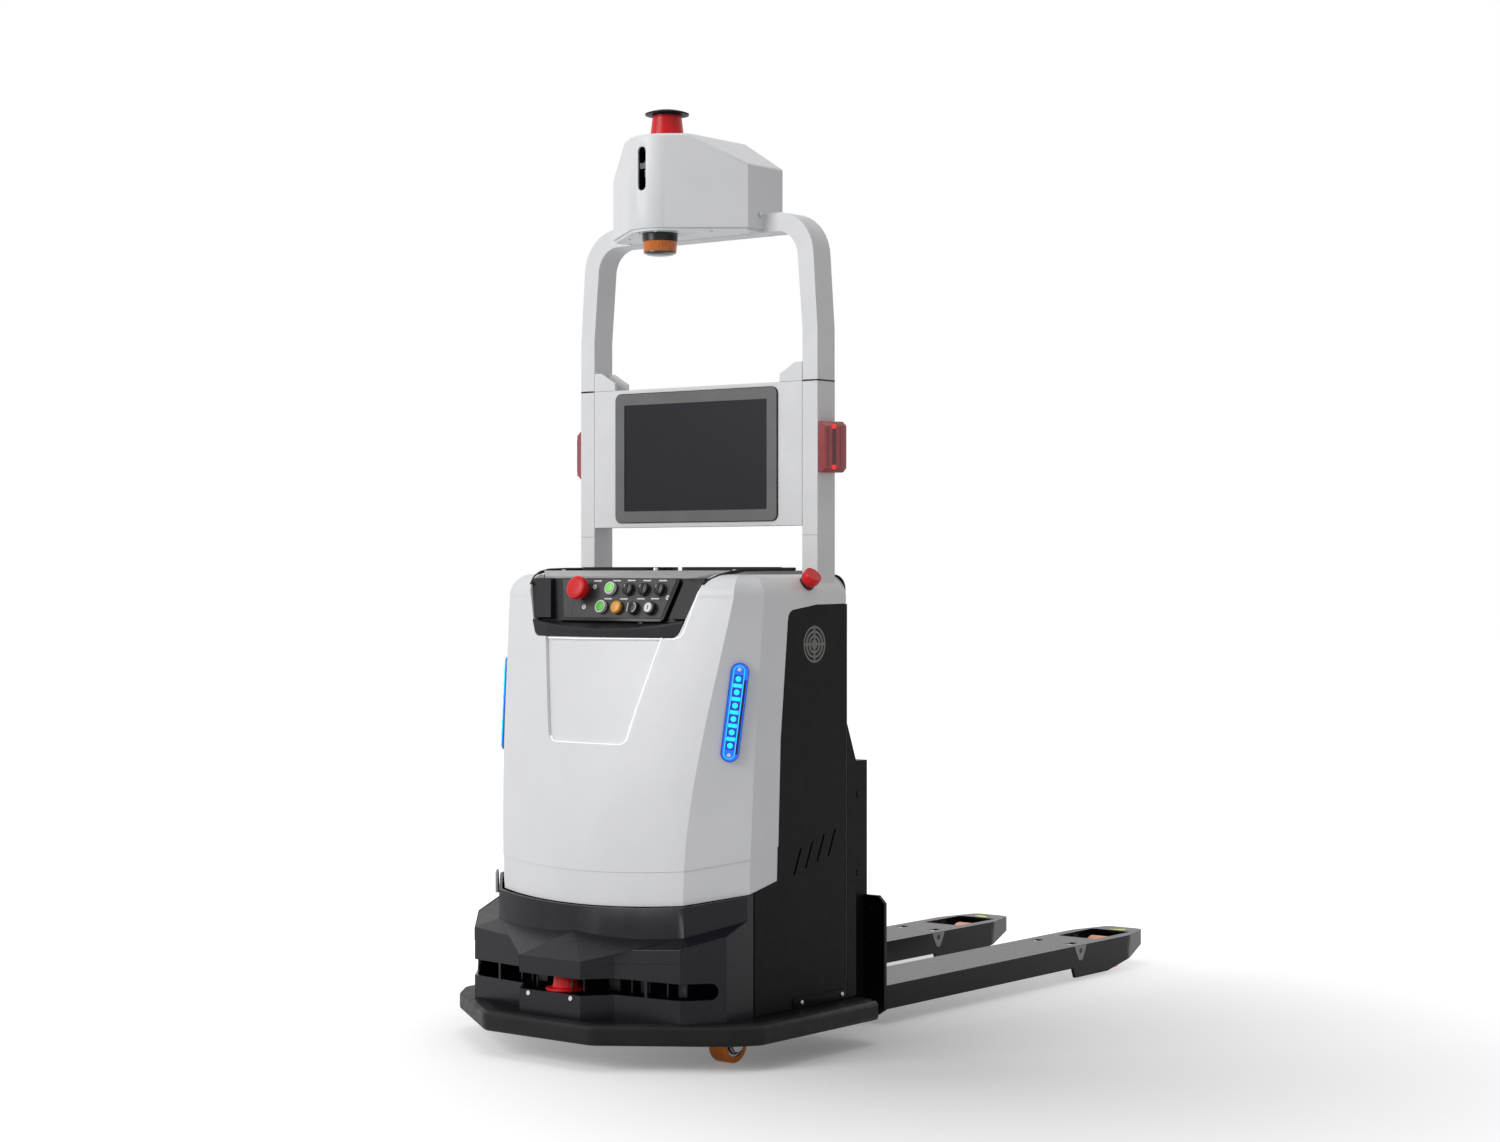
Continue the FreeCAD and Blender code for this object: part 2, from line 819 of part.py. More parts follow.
def nose_form(wall, bottom):
    """Nose and shoulders under the sloping lip, moved in by a wall."""
    drop = lip_thickness * wall
    lip = [vec(x - wall * share_x, y + wall * share_y, z - drop) for x, y, z, share_x, share_y in nose_lip]
    crease_x, crease_y = cover_sections[0][1:3]
    crease = vec(crease_x + band_reach - wall * 0.7, crease_y - band_reach + wall, band_low - drop)
    middle = vec(0, crease_y - cover_bow - band_reach + wall, band_low - drop)
    faces = []
    for here, following in zip(lip, lip[1:]):
        foot, next_foot = vec(here.x, here.y, bottom), vec(following.x, following.y, bottom)
        half = [[here, following, next_foot, foot]]
        if here is not lip[0]:
            half.append([here, following, crease])
        faces += half + [[flip(point) for point in face] for face in half]
    front, side, rear = lip[-1], lip[1], lip[0]
    faces += [[front, middle, crease], [flip(front), middle, flip(crease)], [front, flip(front), middle]]
    faces += [[crease, side, middle], [flip(crease), flip(side), middle], [side, flip(side), middle]]
    faces.append([side, rear, flip(rear), flip(side)])
    feet = [vec(point.x, point.y, bottom) for point in lip]
    faces.append([feet[-1], flip(feet[-1]), vec(-feet[-1].x, feet[-1].y, front.z), front])
    faces.append([feet[0], flip(feet[0]), flip(rear), rear])
    faces.append(feet + [flip(foot) for foot in reversed(feet)])
    return flat_faced(faces)


def band_form(wall, low):
    """Upright band between the lip's slope and the white cover, moved in by a wall."""
    _, crease_x, crease_y, side_y = cover_sections[0]
    plan = cover_wire(low, crease_x + band_reach, crease_y - band_reach, side_y - band_reach, 0, wall,
                      lower_cover_back)
    return prism(plan, vec(0, 0, lower_cover_top - low))


def slot_end():
    """Rounded end of the scanner's slot in the slanted face behind the shoulder."""
    side, shoulder = nose_lip[2], nose_lip[3]
    share = (slot_end_y - side[1]) / (shoulder[1] - side[1])
    middle = vec(side[0] + share * (shoulder[0] - side[0]), slot_end_y, (scan_slot_low + scan_slot_high) / 2)
    along = vec(side[0] - shoulder[0], side[1] - shoulder[1], 0).normalize()
    outward = vec(along.y, -along.x, 0)
    reach = 2 * lower_cover_wall
    radius = (scan_slot_high - scan_slot_low) / 2
    return Part.makeCylinder(radius, 2 * reach, middle - outward * reach, outward)


def make_lower_cover():
    """Moulded front cover with a protruding nose and the scanner's slot all round."""
    wall = lower_cover_wall
    body = fuse([nose_form(0, base_top), band_form(0, scan_slot_high + 4 * wall)])
    body = body.common(side_slab(under_edge(plate_gap), -half_body - 1, half_body + 1))
    behind = block(-half_body + wall, half_body - wall, lower_cover_back - 1, lower_cover_back + 1,
                   base_top - 1, nose_lip[0][2] - wall)
    room = fuse([nose_form(wall, base_top - 1), band_form(wall, scan_slot_high + 2 * wall), behind])
    body = body.cut(room)
    around = (-nose_reach, slot_end_y, scan_slot_low, scan_slot_high)
    slot = block(-half_body, half_body, *around)
    for x in slot_ribs:
        slot = slot.cut(block(x - rib_half, x + rib_half, *around))
    for tool in [slot] + both(slot_end()):
        body = body.cut(tool)
    keep("lower_cover", largest(body))


def make_safety_scanner():
    """Red scanner window with its flange, on a body that stands on the base plate."""
    flange_top = scan_slot_low + scanner_flange
    window = Part.makeCone(scanner_low_radius, scanner_high_radius, scan_slot_high - flange_top,
                           vec(0, scanner_y, flange_top))
    flange = drum(scanner_body_radius + scanner_rim, 0, scanner_y, scan_slot_low, flange_top)
    body = drum(scanner_body_radius, 0, scanner_y, base_top, scan_slot_low)
    keep("safety_scanner", fuse([window, flange, body]))


def make_posts():
    keep("lower_posts", *both(post_block(post_base, post_joint)))
    outer = post_inner + post_width
    over = symmetric([(outer, post_joint), (outer, arch_bend),
                      (outer - arch_lean, arch_top, arch_outer_round)])
    under = symmetric([(post_inner, post_joint), (post_inner, arch_bend),
                       (post_inner - arch_lean, arch_bar_low, arch_inner_round)])
    keep("arch_frame", front_slab(over + list(reversed(under)), post_front, post_front + post_depth))


def make_screen():
    low_y = post_front
    high_y = post_front + screen_depth
    panel = block(-post_inner, post_inner, low_y, high_y, screen_low, post_joint)
    ear_tip = post_inner - ear_width
    ear_top = post_joint + ear_height
    ear = [(post_inner, post_joint), (post_inner, ear_top), (post_inner - ear_flat, ear_top),
           (ear_tip, post_joint + ear_tip_height), (ear_tip, post_joint)]
    front = front_slab(ear, low_y, low_y + ear_thickness)
    back = front_slab(ear, high_y - ear_thickness, high_y)
    keep("screen_panel", fuse([panel] + both(front) + both(back)))
    frame = front_slab(rectangle(-bezel_half, bezel_half, bezel_low, bezel_high, bezel_round),
                       low_y - bezel_thickness, low_y)
    hole = block(-glass_half, glass_half, low_y - bezel_thickness - 1, low_y + 1, glass_low, glass_high)
    keep("screen_bezel", frame.cut(hole))
    glass_front = low_y - bezel_thickness + glass_sunk
    keep("screen_glass", block(-glass_half, glass_half, glass_front, low_y, glass_low, glass_high))
    reach = post_inner + post_width
    lamp_back = post_front + post_depth
    tip = reach + lamp_reach
    plan = slab([(reach, post_front), (reach, lamp_back), (tip, lamp_back - lamp_rear, 5),
                 (tip, post_front + lamp_front, 5)], lamp_low, lamp_high)
    face = front_slab([(reach, lamp_low), (tip - lamp_end, lamp_low), (tip, lamp_low + lamp_end),
                       (tip, lamp_high - lamp_end), (tip - lamp_end, lamp_high), (reach, lamp_high)],
                      post_front - 1, lamp_back + 1)
    keep("post_lamps", *both(plan.common(face)))


def head_plan(inset):
    """Head outline: straight back and sides, slanted to the round nose."""
    radius = nose_radius - inset
    half = head_half - inset
    front = head_front - inset * 0.4 + inset
    back = head_back - inset
    reach = math.hypot(half, front - nose_y)
    turn = math.acos(radius / reach)
    base = math.atan2(front - nose_y, half)
    touch = base - turn
    tangent = vec(radius * math.cos(touch), nose_y + radius * math.sin(touch), 0)
    return half, front, back, tangent, vec(0, nose_y - radius, 0)


def head_wire(inset, z):
    half, front, back, tangent, tip = head_plan(inset)
    lift = vec(0, 0, z)
    right = [vec(half, back, z), vec(half, front, z), tangent + lift]
    return bowed_wire(right, tip + lift)


def head_solid(inset):
    body = prism(head_wire(inset, head_low), vec(0, 0, head_roof - head_low))
    roof = [(head_half + 1 - inset, head_low - 1), (head_half + 1 - inset, head_eave - inset),
            (head_roof_half, head_roof - inset), (-head_roof_half, head_roof - inset),
            (-head_half - 1 + inset, head_eave - inset), (-head_half - 1 + inset, head_low - 1)]
    return body.common(front_slab(roof, -nose_reach, 0))


def head_top_edge(edge):
    """Edges around the roof and the upright corners of the sides."""
    box = edge.BoundBox
    return box.ZMin > head_low + 1 and box.YLength + box.XLength > 1 and box.YMin < head_back - 1


def make_head():
    hollow = head_solid(head_wall)
    shell = rounded(head_solid(0), head_round, head_top_edge).cut(hollow)
    post_back = post_front + post_depth
    bar = block(-head_half - 1, head_half + 1, post_front, post_back, head_low - 1, arch_top)
    shell = shell.cut(bar)
    half = camera_slot_width / 2
    opening = rectangle(-half, half, camera_slot_low, camera_slot_high, half - 1)
    slot = front_slab(opening, -nose_reach, nose_y)
    keep("head_housing", largest(shell.cut(slot)))
    plate = prism(head_wire(head_wall, head_low - under_plate_thickness), vec(0, 0, under_plate_thickness))
    plate_low = head_low - under_plate_thickness
    bar_room = block(-head_half, head_half, post_front, 0, plate_low - 1, head_low + 1)
    keep("head_base_plate", plate.cut(bar_room))
    keep("head_camera", block(-camera_half, camera_half, *camera_span, head_low, head_roof - head_wall))

    window = Part.makeCone(lidar_low_radius, lidar_high_radius, lidar_height, vec(0, nose_y, head_roof))
    keep("lidar_scanner", window)
    cap_low = head_roof + lidar_height
    disc = drum(lidar_cap_radius, 0, nose_y, cap_low, cap_low + lidar_rim)
    rise = lidar_cap_height - lidar_rim
    keep("lidar_cap", fuse([disc, dome(lidar_cap_radius, rise, vec(0, nose_y, cap_low + lidar_rim), 1)]))

    top = head_low - under_plate_thickness
    foot = vec(0, beacon_y, top - beacon_height)
    lens = Part.makeCone(beacon_low_radius, beacon_radius, beacon_height, foot)
    keep("warning_beacon", fuse([lens, dome(beacon_low_radius, beacon_dome, foot, -1)]))


def dome(radius, rise, place, way):
    """Shallow round cap that rises from a flat circle, up or down."""
    ball = (radius * radius + rise * rise) / (2 * rise)
    turn = math.asin(radius / ball) / 2
    heart, rim, peak = vec(0, 0, 0), vec(radius, 0, 0), vec(0, 0, rise)
    between = vec(ball * math.sin(turn), 0, ball * math.cos(turn) - ball + rise)
    side = [Part.makeLine(heart, rim), Part.Arc(rim, between, peak).toShape(), Part.makeLine(peak, heart)]
    cap = Part.Face(Part.Wire(side)).revolve(vec(0, 0, 0), vec(0, 0, 1), 360)
    if way < 0:
        cap = cap.mirror(vec(0, 0, 0), vec(0, 0, 1))
    cap.translate(place)
    return cap


def make_drive_unit():
    axle_z = drive_radius
    crown_low, crown_top = drive_crown_low, drive_crown_top
    half = drive_width / 2 + running_gap
    leg_outer = half + yoke_thickness
    legs = both(side_slab([(drive_y - yoke_depth / 2, axle_z - yoke_depth / 2, 30),
                           (drive_y + yoke_depth / 2, axle_z - yoke_depth / 2, 30),
                           (drive_y + yoke_depth / 2, crown_top), (drive_y - yoke_depth / 2, crown_top)],
                          half, leg_outer))
    crown = drum(crown_radius, 0, drive_y, crown_low, crown_top)
    ring = drum(slew_ring_radius, 0, drive_y, crown_top, drive_shelf - sliding_gap)
    pin = drum(steer_pin_radius, 0, drive_y, crown_top, drive_shelf + shelf_thickness + running_gap)
    motor_low = drive_shelf + shelf_thickness + running_gap
    motor = drum(motor_radius, 0, drive_y, motor_low, motor_low + motor_height)
    axle = shaft(drive_axle_radius, -half - 1, half + 1, drive_y, axle_z)
    keep("drive_yoke", fuse(legs + [crown, ring, pin, motor, axle]))
    wheel = shaft(drive_radius, -drive_width / 2, drive_width / 2, drive_y, axle_z)
    dish_low = drive_width / 2 - drive_dish
    for side in both(shaft(drive_radius * drive_rim, dish_low, drive_width / 2, drive_y, axle_z)):
        wheel = wheel.cut(side)
    for side in both(shaft(drive_axle_radius + drive_boss, dish_low, drive_width / 2, drive_y, axle_z)):
        wheel = wheel.fuse(side)
    keep("drive_wheel", bored(wheel.removeSplitter(), drive_axle_radius + pin_gap, drive_y, axle_z))


def make_casters():
    axle_y = caster_y + caster_trail
    crown_low = caster_crown_low
    crown_top = crown_low + caster_crown_thickness
    half = caster_width / 2 + caster_leg_gap
    for name, x in (("right", caster_x), ("left", -caster_x)):
        leg = side_slab([(axle_y - 14, caster_radius - 14, 13), (axle_y + 14, caster_radius - 14, 13),
                         (axle_y + 10, crown_top), (caster_y - 14, crown_top)], half, half + caster_leg)
        legs = both(leg)
        crown = drum(caster_crown_radius, 0, caster_y, crown_low, crown_top)
        axle = shaft(caster_axle_radius, -half - 1, half + 1, axle_y, caster_radius)
        pin = drum(caster_pin_radius, 0, caster_y, crown_top, base_top + caster_nut_height)
        nut = drum(caster_nut_radius, 0, caster_y, base_top + sliding_gap, base_top + caster_nut_height)
        fork = fuse(legs + [crown, axle, pin, nut])
        wheel = shaft(caster_radius, -caster_width / 2, caster_width / 2, axle_y, caster_radius)
        dish_low = caster_width / 2 - caster_hub_depth
        for side in both(shaft(hub_radius, dish_low, caster_width / 2, axle_y, caster_radius)):
            wheel = wheel.cut(side)
        boss_end = caster_width / 2 + caster_boss_reach
        for side in both(shaft(caster_axle_radius + caster_boss, dish_low, boss_end, axle_y, caster_radius)):
            wheel = wheel.fuse(side)
        wheel = bored(wheel.removeSplitter(), caster_axle_radius + pin_gap, axle_y, caster_radius)
        fork.translate(vec(x, 0, 0))
        wheel.translate(vec(x, 0, 0))
        keep("caster_fork_" + name, fork)
        keep("caster_wheel_" + name, wheel)


def carriage_shape(low_y):
    corner = carriage_corner
    corners = [(carriage_half, carriage_low + 12), (carriage_half, carriage_top - corner),
               (carriage_half - corner, carriage_top), (-carriage_half + corner, carriage_top),
               (-carriage_half, carriage_top - corner), (-carriage_half, carriage_low + 12),
               (-carriage_half + 18, carriage_low), (carriage_half - 18, carriage_low)]
    return front_slab(corners, low_y, 0)


def make_lift():
    """Open-fronted mast box that slides on two fixed rails, pushed up by one cylinder."""
    front = -mast_depth
    box = block(-mast_half, mast_half, front, 0, mast_low, mast_top)
    room = block(-mast_half + mast_wall, mast_half - mast_wall, front - 1, -carriage_thickness - mast_wall,
                 mast_low - 1, mast_top - mast_wall)
    mast = box.cut(room).cut(carriage_shape(-carriage_thickness))
    rail_outer = rail_x + rail_width
    shoes = []
    for low in shoe_low:
        shoe = block(rail_outer + sliding_gap, mast_half - mast_wall, front + 10, frame_back + rail_reach,
                     low, low + shoe_height)
        shoes += both(shoe)
    rod_low = cylinder_top - rod_engage
    rod = drum(rod_radius, 0, cylinder_y, rod_low, mast_top - mast_wall)
    keep("mast_box", fuse([mast, rod] + shoes))
    rail_top = mast_top - mast_wall - running_gap
    rails = both(block(rail_x, rail_outer, frame_back, frame_back + rail_reach, rail_low, rail_top))
    keep("lift_rails", *rails)
    foot = block(-60, 60, frame_back, cylinder_y + 50, rail_low, rail_low + 12)
    barrel = drum(cylinder_radius, 0, cylinder_y, rail_low, cylinder_top)
    bore = drum(rod_radius + pin_gap, 0, cylinder_y, rod_low - running_gap, cylinder_top + 1)
    keep("lift_cylinder", fuse([foot, barrel]).cut(bore))
    plate = carriage_shape(-carriage_thickness)
    for side in (-1, 1):
        for z in (carriage_hole_low, carriage_hole_high):
            hole = Part.makeCylinder(carriage_hole_radius, 2 * carriage_thickness,
                                     vec(side * carriage_hole_x, -1.5 * carriage_thickness, z), vec(0, 1, 0))
            plate = plate.cut(hole)
    keep("fork_carriage", plate)


def fork_side():
    """Side outline of a fork (y, z); the underside falls to the rollers and rises to the tip."""
    return [(0, fork_top), (0, fork_beam_low), (fork_deep_start - 10, fork_beam_low),
            (fork_deep_start, fork_deep_low), (fork_deep_end, fork_deep_low, 60),
            (fork_length - 110, 30), (fork_length, fork_tip_low), (fork_length, fork_top)]


def fork_plan(inset):
    inner = fork_inner + inset
    outer = fork_outer - inset
    middle = (fork_inner + fork_outer) / 2
    tip = fork_tip_half - inset
    end = fork_length - inset
    return [(inner, 0), (inner, fork_taper_start, 80), (middle - tip, end, fork_tip_round),
            (middle + tip, end, fork_tip_round), (outer, fork_taper_start, 80), (outer, 0)]


def make_forks():
    middle = (fork_inner + fork_outer) / 2
    form = side_slab(fork_side(), fork_inner - 1, fork_outer + 1)
    fork = form.common(slab(fork_plan(0), 0, fork_top))
    cavity_end = fork_length - fork_nose_block
    room = slab(fork_plan(fork_wall), -1, fork_top - fork_deck)
    room = room.common(block(fork_inner, fork_outer, fork_wall, cavity_end, -1, fork_top))
    guides = []
    for y in guide_places:
        web = block(fork_inner + fork_wall / 2, fork_outer - fork_wall / 2, y, y + guide_thickness,
                    fork_beam_low, fork_top - fork_deck / 2)
        gap = sliding_gap
        reach_x = push_rod_width / 2 + gap
        reach_z = push_rod_height / 2 + gap
        hole = block(middle - reach_x, middle + reach_x, y - 1, y + guide_thickness + 1,
                     push_rod_z - reach_z, push_rod_z + reach_z)
        guides.append(web.cut(hole))
    fork = fuse([fork.cut(room)] + guides)
    opening = rectangle(middle - window_half, middle + window_half, window_start, window_end, window_round)
    window = slab(opening, fork_top - fork_deck - 1, fork_top + 1)
    fork = fork.cut(window)
    for x in (fork_inner + pocket_inset, fork_outer - pocket_inset):
        fork = fork.cut(block(x - pocket_half, x + pocket_half, pocket_y - pocket_length / 2,
                              pocket_y + pocket_length / 2, fork_top - fork_deck - 1, fork_top + 1))
    fork = fork.cut(slab(marker, fork_top - marker_depth, fork_top + 1))
    pin_hole = shaft(lever_pin_radius + pin_gap, fork_inner + fork_wall / 2, fork_outer - fork_wall / 2,
                     lever_y, lever_z)
    fork = fork.cut(pin_hole)
    keep("fork_right", fork)
    keep("fork_left", mirrored(fork))
    rod = block(middle - push_rod_width / 2, middle + push_rod_width / 2, fork_wall, lever_y - 30,
                push_rod_z - push_rod_height / 2, push_rod_z + push_rod_height / 2)
    keep("push_rods", *both(rod))


def make_load_rollers():
    middle = (fork_inner + fork_outer) / 2
    roller_half = roller_width / 2
    plate_low = roller_half + side_gap
    plate_high = plate_low + carrier_thickness
    lever_low = plate_high + side_gap
    lever_high = lever_low + lever_thickness
    carrier_z = roller_radius
    first = carrier_y - roller_pitch / 2
    second = carrier_y + roller_pitch / 2
    for name, side in (("right", 1), ("left", -1)):
        x = side * middle
        round_end = carrier_height / 2 - 0.5
        low_z, high_z = carrier_z - carrier_height / 2, carrier_z + carrier_height / 2
        back, front = first - carrier_height / 2, second + carrier_height / 2
        plate = side_slab([(back, low_z, round_end), (front, low_z, round_end), (front, high_z, round_end),
                           (back, high_z, round_end)], plate_low, plate_high)
        axles = [shaft(roller_axle_radius, -plate_high, plate_high, y, carrier_z) for y in (first, second)]
        stubs = both(shaft(roller_axle_radius, plate_low, lever_high, carrier_y, carrier_z))
        carrier = fuse(both(plate) + axles + stubs)
        carrier.translate(vec(x, 0, 0))
        keep("roller_carrier_" + name, carrier)
        fork_half = (fork_outer - fork_inner) / 2
        for part, y in (("rear", first), ("front", second)):
            roller = shaft(roller_radius, -roller_half, roller_half, y, carrier_z)
            roller = bored(roller, roller_axle_radius + pin_gap, y, carrier_z)
            roller.translate(vec(x, 0, 0))
            keep("load_roller_" + part + "_" + name, roller)
        arm = lever_arm(lever_low, lever_high, carrier_z)
        pin_reach = fork_half - fork_wall / 2 - pin_end_gap
        pin = shaft(lever_pin_radius, -pin_reach, pin_reach, lever_y, lever_z)
        lever = fuse(both(arm) + [pin])
        lever.translate(vec(x, 0, 0))
        keep("roller_lever_" + name, lever)


def lever_arm(low, high, carrier_z):
    run = vec(0, carrier_y - lever_y, carrier_z - lever_z)
    across = vec(0, -run.z, run.y).normalize() * (lever_end_radius)
    start = vec(low, lever_y, lever_z)
    end = start + run
    corners = [start + across, end + across, end - across, start - across, start + across]
    arm = prism(Part.makePolygon(corners), vec(high - low, 0, 0))
    arm = arm.fuse([shaft(lever_end_radius, low, high, lever_y, lever_z),
                    shaft(lever_end_radius, low, high, carrier_y, carrier_z)])
    return bored(arm.removeSplitter(), roller_axle_radius + pin_gap, carrier_y, carrier_z)


def write_nodes():
    os.makedirs("parts", exist_ok=True)
    for name, shapes in nodes.items():
        solids = [solid for shape in shapes for solid in shape.Solids]
        for solid in solids:
            solid.translate(vec(0, -middle_y, 0))
        shape = solids[0] if len(solids) == 1 else Part.makeCompound(solids)
        valid = all(solid.isValid() for solid in solids)
        volume = round(sum(solid.Volume for solid in solids) / 1000)
        print(name, len(solids), volume, "cm3", "" if valid else "INVALID")
        shape.exportStep("parts/" + name + ".step")


make_base()
make_chassis_frame()
make_front_cover()
make_side_panels()
make_rear_cover()
make_lid()
make_control_panel()
make_controls()
make_knobs()
make_side_lights()
make_lower_cover()
make_safety_scanner()
make_posts()
make_screen()
make_head()
make_drive_unit()
make_casters()
make_lift()
make_forks()
make_load_rollers()
write_nodes()
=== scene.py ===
import bpy
import bmesh
import json
import math
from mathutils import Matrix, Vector

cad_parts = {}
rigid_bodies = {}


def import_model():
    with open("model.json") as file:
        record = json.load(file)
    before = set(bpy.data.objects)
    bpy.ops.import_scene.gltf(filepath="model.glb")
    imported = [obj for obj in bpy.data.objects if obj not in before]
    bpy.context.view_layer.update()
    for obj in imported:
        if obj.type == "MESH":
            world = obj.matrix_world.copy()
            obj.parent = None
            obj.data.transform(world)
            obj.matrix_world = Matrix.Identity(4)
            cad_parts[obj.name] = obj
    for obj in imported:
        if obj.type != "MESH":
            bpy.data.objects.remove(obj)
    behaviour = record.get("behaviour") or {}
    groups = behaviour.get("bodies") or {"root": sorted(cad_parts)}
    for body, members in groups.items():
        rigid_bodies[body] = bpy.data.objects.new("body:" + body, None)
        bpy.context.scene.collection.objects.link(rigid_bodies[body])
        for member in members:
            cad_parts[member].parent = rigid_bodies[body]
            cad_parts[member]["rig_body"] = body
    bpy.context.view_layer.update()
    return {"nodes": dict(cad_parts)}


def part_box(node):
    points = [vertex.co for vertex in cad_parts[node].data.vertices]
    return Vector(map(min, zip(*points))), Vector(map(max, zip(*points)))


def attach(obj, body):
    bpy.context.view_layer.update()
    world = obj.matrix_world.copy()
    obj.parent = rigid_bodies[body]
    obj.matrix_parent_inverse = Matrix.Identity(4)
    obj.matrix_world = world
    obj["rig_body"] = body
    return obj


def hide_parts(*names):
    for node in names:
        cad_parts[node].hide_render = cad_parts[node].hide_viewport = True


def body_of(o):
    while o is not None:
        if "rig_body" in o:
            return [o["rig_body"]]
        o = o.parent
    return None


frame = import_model()

# The frame's length middle, measured from the fork carriage's rear face
MIDDLE_Y = 0.169


def at(x, y, z):
    """Point in the frame from across, from the carriage's rear face and from the floor, in millimetres."""
    return Vector((x / 1000, y / 1000 - MIDDLE_Y, z / 1000))


# Camera
PHOTO_WIDTH = 1500.0
FOCAL_PIXELS = 2677.6
SENSOR = 36.0
CAMERA_TURN = math.radians(38.46)
CAMERA_PLACE = at(3665.6, -4737.5, 985.0)
VIEW_DEPTH = 60


def make_camera():
    data = bpy.data.cameras.new("camera")
    data.sensor_width = SENSOR
    data.lens = FOCAL_PIXELS / PHOTO_WIDTH * SENSOR
    data.clip_end = VIEW_DEPTH
    camera = bpy.data.objects.new("camera", data)
    camera.location = CAMERA_PLACE
    camera.rotation_euler = (math.radians(90), 0, CAMERA_TURN)
    bpy.context.collection.objects.link(camera)
    bpy.context.scene.camera = camera


# Studio
def tree_of(material):
    material.use_nodes = True
    tree = material.node_tree
    tree.nodes.clear()
    return tree


def seen_rays(tree):
    """One for camera, glossy and transmission rays, none for the rays that light the object."""
    path = tree.nodes.new("ShaderNodeLightPath")
    total = path.outputs["Is Camera Ray"]
    for name in ("Is Glossy Ray", "Is Transmission Ray"):
        add = tree.nodes.new("ShaderNodeMath")
        add.operation = "MAXIMUM"
        tree.links.new(total, add.inputs[0])
        tree.links.new(path.outputs[name], add.inputs[1])
        total = add.outputs[0]
    return total


FLOOR_COLOR = (0.80, 0.80, 0.805, 1)
# Near and far distance from the centre in metres, and the glow at each; the floor glows less near the centre,
# which paints a shadow around the truck
FLOOR_GLOW_AND_PAINTED_SHADOW = (0.1, 2.0, 0.07, 0.8)
# Centre of the painted shadow on the floor, beside the truck
PAINTED_SHADOW_CENTER = (0.62, -0.52, 0)
FLOOR_HALF = 30.0
WORLD_LIGHT = 0.35


def make_floor():
    material = bpy.data.materials.new("studio_floor")
    tree = tree_of(material)
    out = tree.nodes.new("ShaderNodeOutputMaterial")
    diffuse = tree.nodes.new("ShaderNodeBsdfDiffuse")
    diffuse.inputs["Color"].default_value = FLOOR_COLOR
    glow = tree.nodes.new("ShaderNodeEmission")
    glow.inputs["Color"].default_value = (1, 1, 1, 1)
    length = tree.nodes.new("ShaderNodeVectorMath")
    length.operation = "LENGTH"
    from_center = tree.nodes.new("ShaderNodeVectorMath")
    from_center.operation = "SUBTRACT"
    from_center.inputs[1].default_value = PAINTED_SHADOW_CENTER
    tree.links.new(tree.nodes.new("ShaderNodeTexCoord").outputs["Object"], from_center.inputs[0])
    tree.links.new(from_center.outputs[0], length.inputs[0])
    # painted shadow: the floor's glow is dimmer close to the centre beside the truck
    rise = tree.nodes.new("ShaderNodeMapRange")
    for name, value in zip(("From Min", "From Max", "To Min", "To Max"), FLOOR_GLOW_AND_PAINTED_SHADOW):
        rise.inputs[name].default_value = value
    tree.links.new(length.outputs["Value"], rise.inputs["Value"])
    scale = tree.nodes.new("ShaderNodeMath")
    scale.operation = "MULTIPLY"
    tree.links.new(seen_rays(tree), scale.inputs[0])
    tree.links.new(rise.outputs["Result"], scale.inputs[1])
    tree.links.new(scale.outputs[0], glow.inputs["Strength"])
    add = tree.nodes.new("ShaderNodeAddShader")
    tree.links.new(diffuse.outputs[0], add.inputs[0])
    tree.links.new(glow.outputs[0], add.inputs[1])
    tree.links.new(add.outputs[0], out.inputs["Surface"])
    mesh = bpy.data.meshes.new("floor")
    corners = [(-FLOOR_HALF, -FLOOR_HALF, 0), (FLOOR_HALF, -FLOOR_HALF, 0),
               (FLOOR_HALF, FLOOR_HALF, 0), (-FLOOR_HALF, FLOOR_HALF, 0)]
    mesh.from_pydata(corners, [], [(0, 1, 2, 3)])
    floor = bpy.data.objects.new("floor", mesh)
    floor.data.materials.append(material)
    bpy.context.collection.objects.link(floor)


def make_world():
    world = bpy.data.worlds.new("studio")
    world.use_nodes = True
    tree = world.node_tree
    tree.nodes.clear()
    out = tree.nodes.new("ShaderNodeOutputWorld")
    lit = tree.nodes.new("ShaderNodeBackground")
    lit.inputs["Color"].default_value = (1, 1, 1, 1)
    lit.inputs["Strength"].default_value = WORLD_LIGHT
    seen = tree.nodes.new("ShaderNodeBackground")
    seen.inputs["Color"].default_value = (1, 1, 1, 1)
    mix = tree.nodes.new("ShaderNodeMixShader")
    tree.links.new(seen_rays(tree), mix.inputs["Fac"])
    tree.links.new(lit.outputs[0], mix.inputs[1])
    tree.links.new(seen.outputs[0], mix.inputs[2])
    tree.links.new(mix.outputs[0], out.inputs["Surface"])
    bpy.context.scene.world = world


# Lamps: columns are name, place, aim, width, height and power in watts
LAMPS = [
    ("key", (-1.7, -4.9, 3.0), (0.0, -0.4, 0.9), 2.6, 2.6, 121.0),
    ("fill", (4.2, -2.4, 1.6), (0.0, -0.2, 0.7), 2.0, 2.4, 3.0),
    ("top", (0.2, -0.6, 4.6), (0.0, 0.2, 0.4), 2.6, 2.6, 30.0),
]


def make_lamps():
    for name, place, aim, width, height, power in LAMPS:
        data = bpy.data.lights.new(name, "AREA")
        data.shape = "RECTANGLE"
        data.size = width
        data.size_y = height
        data.energy = power
        lamp = bpy.data.objects.new(name, data)
        lamp.location = place
        direction = Vector(aim) - Vector(place)
        lamp.rotation_euler = direction.to_track_quat("-Z", "Y").to_euler()
        bpy.context.collection.objects.link(lamp)


# Materials: the part of a noise's range that is used, and its detail for colour and for bump
NOISE_LOW = 0.35
NOISE_HIGH = 0.65
COLOR_DETAIL = 3.0
BUMP_DETAIL = 2.0


